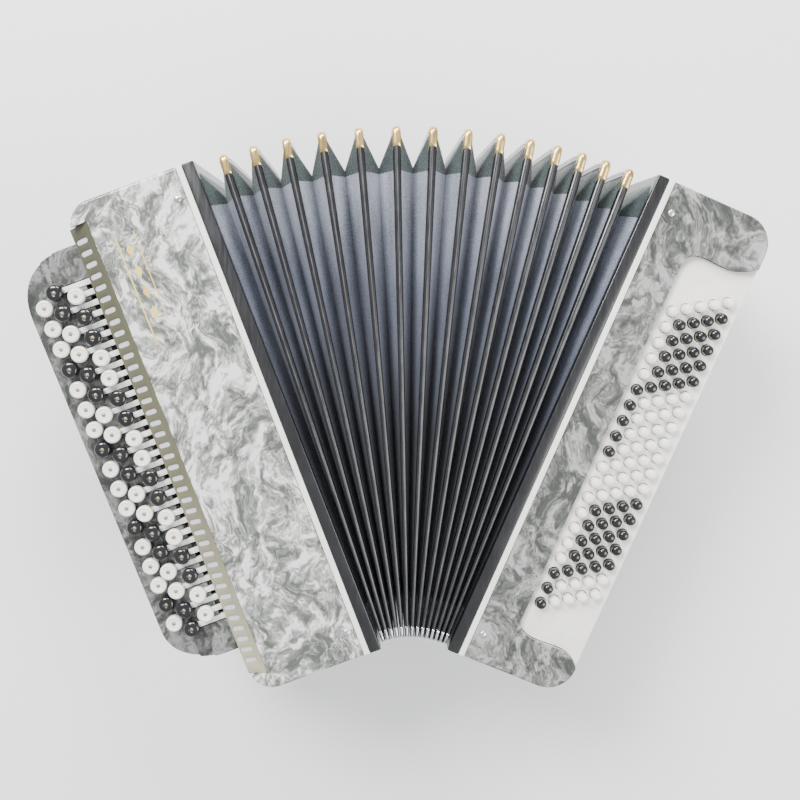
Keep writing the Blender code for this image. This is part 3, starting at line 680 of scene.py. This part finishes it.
def ring_piece(name, profile, key):
    """A rectangular ring swept from a closed profile of (x, inset) points."""
    bm = bmesh.new()
    loops = []
    for x, inset in profile:
        loops.append([bm.verts.new((x, y, z)) for y, z in ring_loop(inset, FRAME_CORNER, 4)])
    for first, second in zip(loops, loops[1:] + loops[:1]):
        bridge(bm, first, second)
    return to_object(name, bm, [key])


def ring_loop(inset, corner, steps):
    """The casings' outline in y and z, evenly inset, its corners rounded."""
    y = CASE_HALF - inset
    z0 = inset
    z1 = CASE_DEPTH - inset
    points = []
    for cy, cz, start in ((y, z0, -90), (y, z1, 0), (-y, z1, 90), (-y, z0, 180)):
        oy = cy - math.copysign(corner, cy)
        oz = cz + (corner if cz == z0 else -corner)
        for a in np.radians(np.linspace(start, start + 90, steps + 1)):
            points.append((oy + corner * math.cos(a), oz + corner * math.sin(a)))
    return points


def row_places(middle, pitch, count):
    return [middle + pitch * (i - (count - 1) / 2) for i in range(count)]


def settle(obj, body, slot, *nodes):
    """Say which body a piece rides on, and the CAD nodes it stands for. slot, the name of its finish, is not used.
    """
    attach(obj, body)
    if nodes:
        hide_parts(*nodes)
    return obj


# ---- parts shared by both sides


def in_mm(*points):
    """Profile points, from radii and heights in millimetres."""
    return [(radius * MM, height * MM, material) for radius, height, material in points]


def pin_head_profile():
    return in_mm(
        (1.4, -6, 0), (1.4, 0, 0), (2.6, 0, 0), (3, 0.25, 0), (2.85, 0.75, 0), (2.3, 1.15, 0),
        (1.4, 1.4, 0), (0.5, 1.5, 0),
    )


def bellows_joint(side, where, inward):
    """The binding and the black frame between a casing and the bellows, with the pins through them."""
    body = f"{side}_side"
    binding = [
        (-inward * (BINDING_EDGE - GAP), 0), (inward * (3 * MM - GAP), 0),
        (inward * (3 * MM - GAP), 5.1 * MM), (-inward * (BINDING_EDGE - GAP), 5.1 * MM),
    ]
    obj = ring_piece(f"{side}_binding_look", binding, "binding")
    round_edges(obj, 0.7 * MM)
    settle(place(obj, where), body, "ivory_binding", f"{side}_binding")

    frame_profile = [
        (inward * 3 * MM, 0), (inward * FRAME_IN, 0), (inward * FRAME_IN, 12 * MM),
        (-inward * 12 * MM, 12 * MM), (-inward * 12 * MM, 5.4 * MM), (inward * 3 * MM, 5.4 * MM),
    ]
    obj = ring_piece(f"{side}_bellows_frame_look", frame_profile, "frame")
    round_edges(obj, 0.9 * MM)
    settle(place(obj, where), body, "black_frame", f"{side}_bellows_frame")

    x = -inward * 9 * MM
    front = turned(f"{side}_front_pins_look", pin_head_profile(),
                   [(x, y, CASE_DEPTH + 0.05 * MM) for y in (184.5 * MM, -184.5 * MM)], ["steel"], 24)
    pins = [f"{side}_front_pin_{name}" for name in ("upper", "lower")]
    settle(place(front, where, 60), body, "steel", *pins)
    for name, way in (("upper", 1), ("lower", -1)):
        profile = [(r, way * h, m) for r, h, m in pin_head_profile()]
        foot = (x, way * (CASE_HALF + 0.05 * MM), 60 * MM)
        end = turned(f"{side}_end_pin_{name}_look", profile, [foot], ["steel"], 24, "xzy")
        settle(place(end, where, 60), body, "steel", f"{side}_end_pin_{name}")


# ---- treble side


def treble_case():
    outline = side_outline(-BINDING_EDGE, -TREBLE_WIDTH, CASE_HALF, TREBLE_CORNER)
    case = prism("treble_casing_look", outline, 0, COVER_FLOOR - GAP / 3, "pearl")
    hollow = side_outline(MM, -(TREBLE_WIDTH - CASE_WALL), CASE_HALF - CASE_WALL, TREBLE_CORNER - CASE_WALL)
    cut(case, (hollow, CASE_WALL, CASE_DEPTH))
    reach = BOARD_LENGTH / 2 - 6 * MM
    wall = (-TREBLE_WIDTH - MM, -(TREBLE_WIDTH - CASE_WALL) + MM)
    cut(case, (rectangle(*wall, TREBLE_MIDDLE - reach, TREBLE_MIDDLE + reach), WALL_TOP, CASE_DEPTH))
    cut(case, (rectangle(*wall, -STRIP_LENGTH / 2 - MM, STRIP_LENGTH / 2 + MM), STRIP_SEAT, CASE_DEPTH))
    round_edges(case, 2.2 * MM, 4, lambda p: p.z < MM and p.x < -BINDING_EDGE - MM)
    settle(place(case, TREBLE), "treble_side", "grey_pearl", "treble_casing")

    cover = prism("treble_front_cover_look", outline, COVER_FLOOR, CASE_DEPTH, "pearl")
    strip_end = STRIP_LENGTH / 2 + GAP
    notch = rectangle(-TREBLE_WIDTH - 5 * MM, -(STRIP_INNER - GAP), -strip_end, strip_end)
    cut(cover, (notch, COVER_FLOOR - MM, CASE_DEPTH + MM))

    def rim(p):
        at_end = abs(p.y) > STRIP_LENGTH / 2 + MM and p.x < -BINDING_EDGE - MM
        outside = p.x < -TREBLE_WIDTH + TREBLE_CORNER or abs(p.y) > CASE_HALF - 3 * MM
        return p.z > CASE_DEPTH - MM and at_end and outside

    round_edges(cover, 2.2 * MM, 5, rim)
    settle(place(cover, TREBLE), "treble_side", "grey_pearl", "treble_front_cover")


def strip_height(x, shift):
    """Height of the strip's face at x, which slopes down from the front to the finger board."""
    return CASE_DEPTH - STRIP_DROP * (-x - STRIP_INNER) / (STRIP_OUTER - STRIP_INNER) - shift


def grille_strip():
    """The slotted strip, and the lining that stands up into its windows."""
    band = [(-x, strip_height(-x, 0)) for x in (STRIP_INNER, STRIP_OUTER)]
    band += [(-x, strip_height(-x, STRIP_THICK)) for x in (STRIP_OUTER, STRIP_INNER)]
    half = STRIP_LENGTH / 2
    strip = prism("treble_grille_strip_look", band, -half, half, "strip", "xzy")
    middle = -STRIP_OUTER + WINDOW_EDGE + WINDOW_LONG / 2
    windows = []
    for y in row_places(0, STRIP_PITCH, STRIP_WINDOWS):
        window = stadium(middle, y, WINDOW_LONG, WINDOW_WIDE)
        windows.append((window, CASE_DEPTH - 30 * MM, CASE_DEPTH + MM))
    cut(strip, *windows)
    round_edges(strip, 0.35 * MM, 2)
    settle(place(strip, TREBLE), "treble_side", "olive_strip", "treble_grille_strip")

    bm = bmesh.new()
    for y in row_places(0, STRIP_PITCH, STRIP_WINDOWS):
        outline = stadium(middle, y, WINDOW_LONG - 2 * PAD_EDGE, WINDOW_WIDE - 2 * PAD_EDGE)
        low = [bm.verts.new((x, v, strip_height(x, STRIP_THICK + GAP / 2))) for x, v in outline]
        high = [bm.verts.new((x, v, strip_height(x, 0.7 * MM))) for x, v in outline]
        bm.faces.new(low)
        bm.faces.new(high)
        bridge(bm, low, high)
    lining = to_object("treble_grille_lining_look", bm, ["lining"])
    settle(place(lining, TREBLE), "treble_side", "grey_lining", "treble_grille_lining")


def board_outline():
    inner = -(TREBLE_WIDTH + GAP)
    outer = -BOARD_OUTER
    top = TREBLE_MIDDLE + BOARD_LENGTH / 2
    foot = TREBLE_MIDDLE - BOARD_LENGTH / 2
    points = [(inner, foot), (inner, top)]
    points += bezier((-112 * MM, top), (-138 * MM, top), (outer, top - 14 * MM), (outer, top - 44 * MM), 16)
    points.append((outer, top - 44 * MM))
    start = (outer, foot + 34 * MM)
    points += bezier(start, (outer, foot + 12 * MM), (-136 * MM, foot), (-112 * MM, foot), 16)
    points.append((-112 * MM, foot))
    return points


def finger_board():
    """The stepped board: a terrace for each row of buttons, slots for the levers, a cavity below."""
    top = TREBLE_ROWS["inner"]["terrace"] * MM
    # The board's pearl is darkened as painted shade.
    board = prism("treble_finger_board_look", board_outline(), BOARD_FLOOR, top, "board_painted_shade_pearl")
    outer, middle = TERRACE_EDGES
    for name, edge in (("middle", middle), ("outer", outer)):
        step = rectangle(-BOARD_OUTER - MM, edge, -BOARD_LENGTH, BOARD_LENGTH)
        cut(board, (step, TREBLE_ROWS[name]["terrace"] * MM, top + MM))
    foot = TREBLE_MIDDLE - BOARD_LENGTH / 2
    end = foot + BOARD_LENGTH

    def rim(p):
        upper = p.z > TREBLE_ROWS["outer"]["terrace"] * MM - MM
        return (upper or p.z < BOARD_FLOOR + MM) and p.x < -TREBLE_WIDTH - 2 * MM

    round_edges(board, 1.5 * MM, 4, rim)
    cut(board, (rectangle(-BOARD_OUTER + 6 * MM, -TREBLE_WIDTH + MM, foot + 24 * MM, end - 24 * MM),
                CAVITY_FLOOR, CAVITY_TOP))
    reach = TREBLE_PITCH * (TREBLE_ROWS["middle"]["count"] - 1) / 2 + SLOT_WIDE / 2
    trench = rectangle(TRENCH_EDGE, -TREBLE_WIDTH + MM, TREBLE_MIDDLE - reach, TREBLE_MIDDLE + reach)
    cut(board, (trench, CAVITY_TOP - MM / 2, top + MM))
    slots = []
    for row in TREBLE_ROWS.values():
        for y in row_places(TREBLE_MIDDLE, TREBLE_PITCH, row["count"]):
            if row["slot"]:
                shape = rectangle(row["slot"] * MM, -TREBLE_WIDTH + MM, y - SLOT_WIDE / 2, y + SLOT_WIDE / 2)
            else:
                shape = circle(row["x"] * MM, y, 4.3 * MM, 20)
            slots.append((shape, CAVITY_TOP - MM / 2, top + MM))
    cut(board, *slots)
    settle(place(board, TREBLE), "treble_side", "grey_pearl", "treble_finger_board")


def button_foot(r):
    """The stem and the underside of a button's flange."""
    return in_mm((2.3, -3, 0), (2.3, 0, 0), (r - 0.9, 0, 0), (r - 0.2, 0.3, 0), (r, 1, 0))


def white_button():
    """A flat turned button: stem, rounded flange, a shallow ring, and a screw let into the middle."""
    r = BUTTON_RADIUS / MM
    return button_foot(r) + in_mm(
        (r, 4.2, 0), (r - 0.15, 5, 0), (r - 0.6, 5.6, 0), (r - 1.3, 5.9, 0), (r - 1.9, 5.92, 0),
        (r - 2.2, 5.55, 0), (r - 2.6, 5.5, 0), (1.75, 5.5, 0), (1.6, 5.1, 0), (1.35, 5.1, 1),
        (1.3, 5.45, 1), (0.9, 5.75, 1), (0.3, 5.85, 1),
    )


def black_button():
    """A domed turned button with the same screw."""
    r = BUTTON_RADIUS / MM
    return button_foot(r) + in_mm(
        (r, 3.6, 0), (r - 0.2, 4.6, 0), (r - 0.9, 5.4, 0), (r - 2, 5.9, 0), (r - 3, 6.1, 0),
        (2.4, 6.1, 0), (1.8, 5.7, 0), (1.6, 5.4, 0), (1.35, 5.4, 1), (1.3, 5.7, 1),
        (0.9, 5.95, 1), (0.3, 6, 1),
    )


def feet_of(x, places, z, letters, letter):
    """The feet of the buttons with this letter. The letters run from the upper end down."""
    return [(x, y, z) for y, c in zip(reversed(places), letters) if c == letter]


def treble_row(name, row):
    body = f"treble_row_{name}"
    places = row_places(TREBLE_MIDDLE, TREBLE_PITCH, row["count"])
    half = LEVER_WIDE / 2
    tip = row["x"] * MM - 3 * MM
    tail = row["tail"] * MM
    outline = [(tail, places[0] - half), (tail, places[-1] + half)]
    for y in reversed(places):
        outline += [(tip, y + half), (tip, y - half)]
        if y != places[0]:
            outline += [(tail - 6 * MM, y - half), (tail - 6 * MM, y - TREBLE_PITCH + half)]
    floor = row["lever"] * MM
    bm = bmesh.new()
    roof = floor + row["thick"] * MM
    add_prism(bm, outline, floor, roof)
    if name == "middle":
        for y in places:
            add_prism(bm, rectangle(tip, RAISED_BAR_END, y - half, y + half), roof, RAISED_BAR_TOP)
    levers = to_object(f"treble_levers_{name}", bm, ["lever"])
    round_edges(levers, 0.35 * MM, 2)
    settle(place(levers, TREBLE), body, "lever_white", f"treble_keys_{name}")
    for letter, colour, profile in (("w", "white", white_button()), ("b", "black", black_button())):
        feet = feet_of(row["x"] * MM, places, row["cap"] * MM, TREBLE_COLOURS[name], letter)
        buttons = turned(f"treble_buttons_{name}_{colour}", profile, feet, [colour, "brass"], 40)
        settle(place(buttons, TREBLE, 50), body, f"button_{colour}", f"treble_keys_{name}")


def treble_ornament():
    """Two thin gilt lines with lozenges beside them, inlaid in the upper front."""
    bm = bmesh.new()
    floor = CASE_DEPTH - 0.1 * MM
    roof = CASE_DEPTH + 0.15 * MM
    add_prism(bm, rectangle(-65.6 * MM, -64.4 * MM, 86 * MM, 174 * MM), floor, roof)
    add_prism(bm, rectangle(-50.5 * MM, -49.6 * MM, 104 * MM, 174 * MM), floor, roof)
    x = -57.5 * MM
    for y in (110 * MM, 127 * MM, 144 * MM, 161 * MM):
        lozenge = [(x, y - 6 * MM), (x + 3 * MM, y), (x, y + 6 * MM), (x - 3 * MM, y)]
        add_prism(bm, lozenge, floor, roof)
    inlay = to_object("treble_gilt_inlay", bm, ["gilt"])
    settle(place(inlay, TREBLE), "treble_side", "gold_trim")


def treble_side():
    bellows_joint("treble", TREBLE, 1)
    treble_case()
    grille_strip()
    finger_board()
    for name, row in TREBLE_ROWS.items():
        treble_row(name, row)
    treble_ornament()


# ---- bass side


def panel_outline(grow, beyond):
    left = PANEL_EDGE - grow
    right = BASS_WIDTH
    top = 163.4 * MM + grow
    foot = -172.8 * MM - grow
    points = bezier((left, 148 * MM), (left, 160 * MM), (40 * MM, top), (50 * MM, top), 12)
    points += bezier((50 * MM, top), (65 * MM, top), (75 * MM, top - 4 * MM), (right, top + 8.6 * MM), 14)
    points += [(right, top + 8.6 * MM), (right + beyond, top + 8.6 * MM)]
    points += [(right + beyond, foot - 10 * MM), (right, foot - 10 * MM)]
    end = (right, foot - 10 * MM)
    points += bezier(end, (82 * MM, foot + 5 * MM), (70 * MM, foot), (54 * MM, foot), 14)[1:]
    points += bezier((54 * MM, foot), (42 * MM, foot), (left, foot + 4 * MM), (left, -160.7 * MM), 12)
    points.append((left, -160.7 * MM))
    return points


def bass_case():
    outline = side_outline(BINDING_EDGE, BASS_WIDTH, CASE_HALF, BASS_CORNER)
    # The casing's pearl is the treble's pearl darkened: painted shade.
    case = prism("bass_casing_look", outline, 0, CASE_DEPTH, "painted_shade_pearl")
    round_edges(case, 2.4 * MM, 5, lambda p: (p.z < MM or p.z > CASE_DEPTH - MM) and p.x > BINDING_EDGE + MM)
    hollow = side_outline(-MM, BASS_WIDTH - CASE_WALL, CASE_HALF - CASE_WALL, BASS_CORNER - CASE_WALL)
    cut(case, (hollow, CASE_WALL, CASE_DEPTH - CASE_WALL))
    cut(case, (panel_outline(0.3 * MM, 5 * MM), PANEL_TOP - PANEL_THICK - GAP, CASE_DEPTH + MM))
    air_hole = circle(*AIR_BUTTON, AIR_BUTTON_RADIUS + 0.6 * MM, 32)
    cut(case, (air_hole, BASS_WIDTH - 8 * MM, BASS_WIDTH + MM, "yzx"))
    settle(place(case, BASS), "bass_side", "grey_pearl", "bass_casing")


def bass_column(k):
    """Where column k of the bass buttons stands in x, and each of its buttons in y."""
    places = row_places(BASS_MIDDLE + k * BASS_STAGGER, BASS_PITCH, BASS_ROW)
    return BASS_FIRST_COLUMN + k * BASS_COLUMN_STEP, places


def bass_panel():
    outline = panel_outline(0, MM / 10)
    panel = prism("bass_button_panel_look", outline, PANEL_TOP - PANEL_THICK, PANEL_TOP, "cream")
    round_edges(panel, 0.6 * MM, 3, lambda p: p.z > PANEL_TOP - MM / 10)
    holes = []
    for k in range(BASS_COLUMNS):
        x, places = bass_column(k)
        for y in places:
            holes.append((circle(x, y, BASS_HOLE_RADIUS, 24), PANEL_TOP - 2 * PANEL_THICK, CASE_DEPTH))
    cut(panel, *holes)
    settle(place(panel, BASS), "bass_side", "cream_panel", "bass_button_panel")


def bass_button():
    """A tall round-topped button."""
    r = BASS_BUTTON_RADIUS
    top = BASS_BUTTON_TOP - BASS_BUTTON_FOOT
    crown = 2.6 * MM
    angles = np.radians([0, 15, 30, 45, 60, 75, 86])
    dome = [(r * math.cos(a), top - crown + crown * math.sin(a), 0) for a in angles]
    return [(r, 0, 0)] + dome


def bass_buttons():
    for k in range(BASS_COLUMNS):
        x, places = bass_column(k)
        node = f"bass_buttons_row_{k + 1}"
        for letter, colour in (("w", "white"), ("b", "black")):
            feet = feet_of(x, places, BASS_BUTTON_FOOT, BASS_COLOURS[k], letter)
            buttons = turned(f"bass_buttons_{k + 1}_{colour}", bass_button(), feet, [colour], 28)
            settle(place(buttons, BASS, 50), f"bass_row_{k + 1}", f"button_{colour}", node)


def bass_strap():
    """The hand strap with its edges rounded, its anchor plate, wheel and the air button."""
    outer = BASS_WIDTH + GAP
    half = 165 * MM
    steps = 60

    def line(offset):
        points = []
        for i in range(steps + 1):
            rise = 19 * MM * math.sin(math.pi * i / steps) ** 0.8
            points.append((outer + offset + rise, -half + 2 * half * i / steps))
        return points

    strap = prism("bass_strap_look", line(0) + line(3 * MM)[::-1], 60 * MM, 128 * MM, "leather")
    round_edges(strap, 1.1 * MM, 4)
    settle(place(strap, BASS), "bass_side", "black_leather", "bass_strap")

    plate = [(outer, -half - GAP), (outer, -half - 16 * MM), (outer + 3 * MM, -half - 14 * MM),
             (outer + 3 * MM, -half - GAP)]
    anchor = prism("bass_strap_anchor_look", plate, 70 * MM, 118 * MM, "steel")
    round_edges(anchor, 0.7 * MM, 3)
    settle(place(anchor, BASS), "bass_side", "steel", "bass_strap_anchor")

    knurled = []
    for i in range(96):
        radius = 11 * MM if i % 4 < 2 else 10.4 * MM
        angle = 2 * math.pi * i / 96
        knurled.append((60 * MM + radius * math.cos(angle), 94 * MM + radius * math.sin(angle)))
    end = CASE_HALF + GAP
    wheel = prism("bass_strap_wheel_look", knurled, end, end + 3 * MM, "steel", "xzy")
    round_edges(wheel, 0.3 * MM, 2, lambda p: p.y > end + 2.9 * MM)
    settle(place(wheel, BASS), "strap_wheel", "steel", "bass_strap_wheel")

    r = AIR_BUTTON_RADIUS / MM
    profile = in_mm(
        (r + 2.8, -8.3, 0), (r + 2.8, -5.4, 0), (r, -5.3, 0), (r, 6.8, 0), (r - 0.35, 7.6, 0),
        (r - 1.2, 8, 0), (r - 3, 7.7, 0), (r - 5.5, 7.4, 0),
    )
    button = turned("air_button_look", profile, [(BASS_WIDTH, *AIR_BUTTON)], ["white"], 48, "yzx")
    settle(place(button, BASS), "air_release", "button_white", "air_button")


def bass_side():
    bellows_joint("bass", BASS, -1)
    bass_case()
    bass_panel()
    bass_buttons()
    bass_strap()


# ---- bellows


def loop_at(station, offset, inset):
    """The line round the bellows at one station, with a point before and after each corner's arc."""
    corner = 3 * MM
    steps = 5
    y = CASE_HALF - inset
    points = []
    front = CASE_DEPTH - inset
    for cy, cz, start in ((y, inset, -90), (y, front, 0), (-y, front, 90), (-y, inset, 180)):
        oy = cy - math.copysign(corner, cy)
        oz = cz + (corner if cz < CASE_DEPTH / 2 else -corner)
        along_y = (math.copysign(CASE_HALF - GUSSET_REACH, cy), cz)
        along_z = (cy, GUSSET_REACH if cz < CASE_DEPTH / 2 else CASE_DEPTH - GUSSET_REACH)
        before, after = (along_y, along_z) if start in (-90, 90) else (along_z, along_y)
        group = [before]
        for a in np.radians(np.linspace(start, start + 90, steps + 1)):
            group.append((oy + corner * math.cos(a), oz + corner * math.sin(a)))
        points += group + [after]
    return [STATIONS[station] @ Vector((offset, v + CASE_HALF - RIDGE_INSET, z)) for v, z in points]


def share_at(a, b, t):
    return [p.lerp(q, t) for p, q in zip(a, b)]


def skin_band(name, loops):
    """An open band through the loops: cloth front and back, gusseted corners, olive end panels."""
    bm = bmesh.new()
    rows = [[bm.verts.new(p) for p in loop] for loop in loops]
    group = len(loops[0]) // 4
    for first, second in zip(rows, rows[1:]):
        for i, face in enumerate(bridge(bm, first, second)):
            if i % group < group - 1:
                face.material_index = 1
            else:
                face.material_index = 2 if (i // group) % 2 == 0 else 0
    return place(to_object(name, bm, ["cloth", "gusset", "end_cloth"]), Matrix.Identity(4), 25)


def fold_loops(first, second, flank):
    """From one ridge's flank down to the valley and up to the next ridge's flank."""
    near = RIDGE_INSET + 2 * MM
    start = loop_at(first, flank if first > 0 else 0, near if first > 0 else near + 4 * MM)
    end = loop_at(second, -flank if second < FOLDS else 0, near if second < FOLDS else near + 4 * MM)
    floor = share_at(loop_at(first, 0, VALLEY_INSET), loop_at(second, 0, VALLEY_INSET), 0.5)
    down = [share_at(start, floor, t) for t in (0, 0.12, 0.3, 0.5, 0.7, 0.88)]
    up = [share_at(end, floor, t) for t in (0.88, 0.7, 0.5, 0.3, 0.12, 0)]
    return down, floor, up


def tape_half(y):
    """Half the tape's width at height y above the ridge's foot."""
    return (RIDGE_THICK + (RIDGE_THICK_TIP - RIDGE_THICK) * min(1, max(0, y / RIDGE_LENGTH))) / 2


def tape(index):
    """A tape over the fold's edge: round outside with two flanks, wider where the folds stand open."""
    bm = bmesh.new()
    rows = []
    turns = np.radians([-90, -75, -60, -45, -28, -9, 9, 28, 45, 60, 75, 90])
    arc = [(math.sin(a), 1.6 * MM * (1 - math.cos(a))) for a in turns]
    profile = arc + [(1.0, RIDGE_WIDE), (-1.0, RIDGE_WIDE)]
    for side, inset in profile:
        row = []
        for y, z in ring_loop(RIDGE_INSET + inset, RIDGE_CORNER, 6):
            up = y + CASE_HALF - RIDGE_INSET
            across = side * tape_half(up)
            row.append(bm.verts.new((across, up, z)))
        rows.append(row)
    for k, (first, second) in enumerate(zip(rows, rows[1:] + rows[:1])):
        for face in bridge(bm, first, second):
            # The narrow band on the crest takes the lighter colour, a painted highlight.
            face.material_index = 1 if k == 5 else 0
    return to_object(f"bellows_tape_{index:02d}", bm, ["tape", "painted_crest_highlight"])


def corner_cap(index, upper):
    """A folded metal cap on one of a ridge's corners: the gilt top and the bright front."""
    reach = 15 * MM if upper else 11 * MM
    bm = bmesh.new()
    loops = []
    arc = [(math.sin(a), 1.9 * MM * (1 - math.cos(a))) for a in np.radians(np.linspace(-90, 90, 11))]
    profile = arc + [(1.0, 3.6 * MM), (-1.0, 3.6 * MM)]
    flat = reach - RIDGE_CORNER
    bend = RIDGE_CORNER * math.pi / 2
    for t in np.linspace(0, 1, 15):
        section = []
        for side, inset in profile:
            inset = RIDGE_INSET + inset - 0.35 * MM
            y_edge = CASE_HALF - inset
            z_edge = CASE_DEPTH - inset
            run = t * (2 * flat + bend)
            if run < flat:
                y, z = y_edge, z_edge - reach + run
            elif run < flat + bend:
                a = (run - flat) / RIDGE_CORNER
                y = y_edge - RIDGE_CORNER + RIDGE_CORNER * math.cos(a)
                z = z_edge - RIDGE_CORNER + RIDGE_CORNER * math.sin(a)
            else:
                y, z = y_edge - RIDGE_CORNER - (run - flat - bend), z_edge
            if not upper:
                y = -y
            up = y + CASE_HALF - RIDGE_INSET
            beyond_tape = 0.3 * MM if upper else -0.25 * MM
            across = side * (tape_half(up) + beyond_tape)
            section.append(bm.verts.new((across, up, z)))
        loops.append(section)
    for k, (first, second) in enumerate(zip(loops, loops[1:])):
        for face in bridge(bm, first, second):
            face.material_index = 0 if k > 4 and upper else 1
    bm.faces.new(loops[0]).material_index = 1
    bm.faces.new(loops[-1]).material_index = 0 if upper else 1
    place_name = "upper" if upper else "lower"
    return to_object(f"bellows_cap_{place_name}_{index:02d}", bm, ["gold", "steel"])


def ridges():
    """Tapes and corner caps on each ridge."""
    for i in range(1, FOLDS):
        body = f"bellows_ridge_{i:02d}"
        pieces = (tape(i), "black_tape"), (corner_cap(i, True), "steel"), (corner_cap(i, False), "steel")
        for piece, slot in pieces:
            settle(place(piece, STATIONS[i], 60), body, slot, body)
            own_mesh(piece)


def cloth():
    """One V-shaped fold of cloth in each gap. The last gap has a half for each side, as no joint spans it."""
    flank = RIDGE_THICK / 2 - 0.2 * MM
    for i in range(1, FOLDS):
        down, floor, up = fold_loops(i - 1, i, flank)
        band = skin_band(f"bellows_fold_{i:02d}_cloth", down + [floor] + up)
        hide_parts("bellows_skin")
        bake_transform(band)
    down, floor, up = fold_loops(FOLDS - 1, FOLDS, flank)
    deeper = VALLEY_INSET + 1.5 * MM
    ends = (loop_at(FOLDS - 1, 0, deeper), loop_at(FOLDS, 0, deeper))
    flap = [share_at(*ends, t) for t in (0.5, 0.7, 0.95)]
    near = skin_band("bellows_fold_15_cloth_near", down + [floor] + flap)
    settle(near, f"bellows_ridge_{FOLDS - 1:02d}", "bellows_cloth", "bellows_skin")
    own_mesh(near)
    far = skin_band("bellows_fold_15_cloth_far", [floor] + up)
    settle(far, "bass_side", "bellows_cloth", "bellows_skin")
    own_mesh(far)


# ---- plain finishes for CAD nodes that stay


def finish_cad(nodes, key):
    for name in nodes:
        obj = frame["nodes"][name]
        obj.data.materials.clear()
        obj.data.materials.append(MATERIALS[key])
        modifier = obj.modifiers.new("round_edges", "BEVEL")
        modifier.width = 0.4 * MM
        modifier.segments = 2
        modifier.limit_method = "ANGLE"
        modifier.angle_limit = math.radians(40)


def cad_finishes():
    brackets = [f"shoulder_strap_bracket_{name}" for name in ("upper", "lower")]
    finish_cad(["treble_lever_axle"] + brackets, "steel")
    blocks = [f"{side}_reed_block_{i}" for side in ("treble", "bass") for i in (1, 2)]
    finish_cad(blocks + ["treble_soundboard", "bass_soundboard"], "wood")
    finish_cad([f"treble_pallets_{row}" for row in TREBLE_ROWS], "felt")


# ---- room, light and camera


def stage():
    mesh = bpy.data.meshes.new("floor")
    corners = [(x, y, FLOOR_TOP) for x, y in rectangle(-FLOOR_REACH, FLOOR_REACH, -FLOOR_REACH, FLOOR_REACH)]
    mesh.from_pydata(corners, [], [(0, 1, 2, 3)])
    made, tree, shader, where = new_material("floor_paint", (0.93, 0.93, 0.93), 0.75)
    tone = noise(tree, where, 3, 3)
    colour_from(tree, shader, ramp(tree, tone, [(0.3, 0.915), (0.7, 0.94)]))
    mesh.materials.append(made)
    floor = bpy.data.objects.new("floor", mesh)
    bpy.context.scene.collection.objects.link(floor)


def lamp(name, location, target, size, power):
    data = bpy.data.lights.new(name, "AREA")
    data.shape = "DISK"
    data.size = size
    data.energy = power
    obj = bpy.data.objects.new(name, data)
    obj.location = location
    obj.rotation_euler = (Vector(target) - Vector(location)).to_track_quat("-Z", "Y").to_euler()
    bpy.context.scene.collection.objects.link(obj)


def light_and_camera():
    lamp("key_light", (-1.1, 1.5, 2.1), (0, 0, 0.1), 1.1, 125)
    lamp("fill_light", (1.6, -0.5, 1.9), (0, 0, 0.1), 1.6, 42)
    lamp("top_light", (0.3, 2.0, 1.5), (0, 0.1, 0.15), 0.9, 52)
    world = bpy.data.worlds.new("studio")
    world.use_nodes = True
    background = world.node_tree.nodes["Background"]
    background.inputs["Color"].default_value = (0.92, 0.94, 0.97, 1)
    background.inputs["Strength"].default_value = 0.95
    bpy.context.scene.world = world

    data = bpy.data.cameras.new("camera")
    data.sensor_width = 36
    data.lens = LENS
    data.clip_start = 0.01
    camera = bpy.data.objects.new("camera", data)
    camera.rotation_euler = (-VIEW_TILT, VIEW_TURN, VIEW_ROLL)
    fan_middle = JOINTS["bellows_fold"]["pos_m"][0]
    target = Vector((fan_middle - 17 * MM, TREBLE.col[3][1] + 16.4 * MM, CASE_DEPTH))
    back = camera.rotation_euler.to_matrix() @ Vector((0, 0, 1))
    camera.location = target + back * VIEW_DISTANCE
    bpy.context.scene.collection.objects.link(camera)
    bpy.context.scene.camera = camera


treble_side()
bass_side()
ridges()
cloth()
cad_finishes()
stage()
light_and_camera()
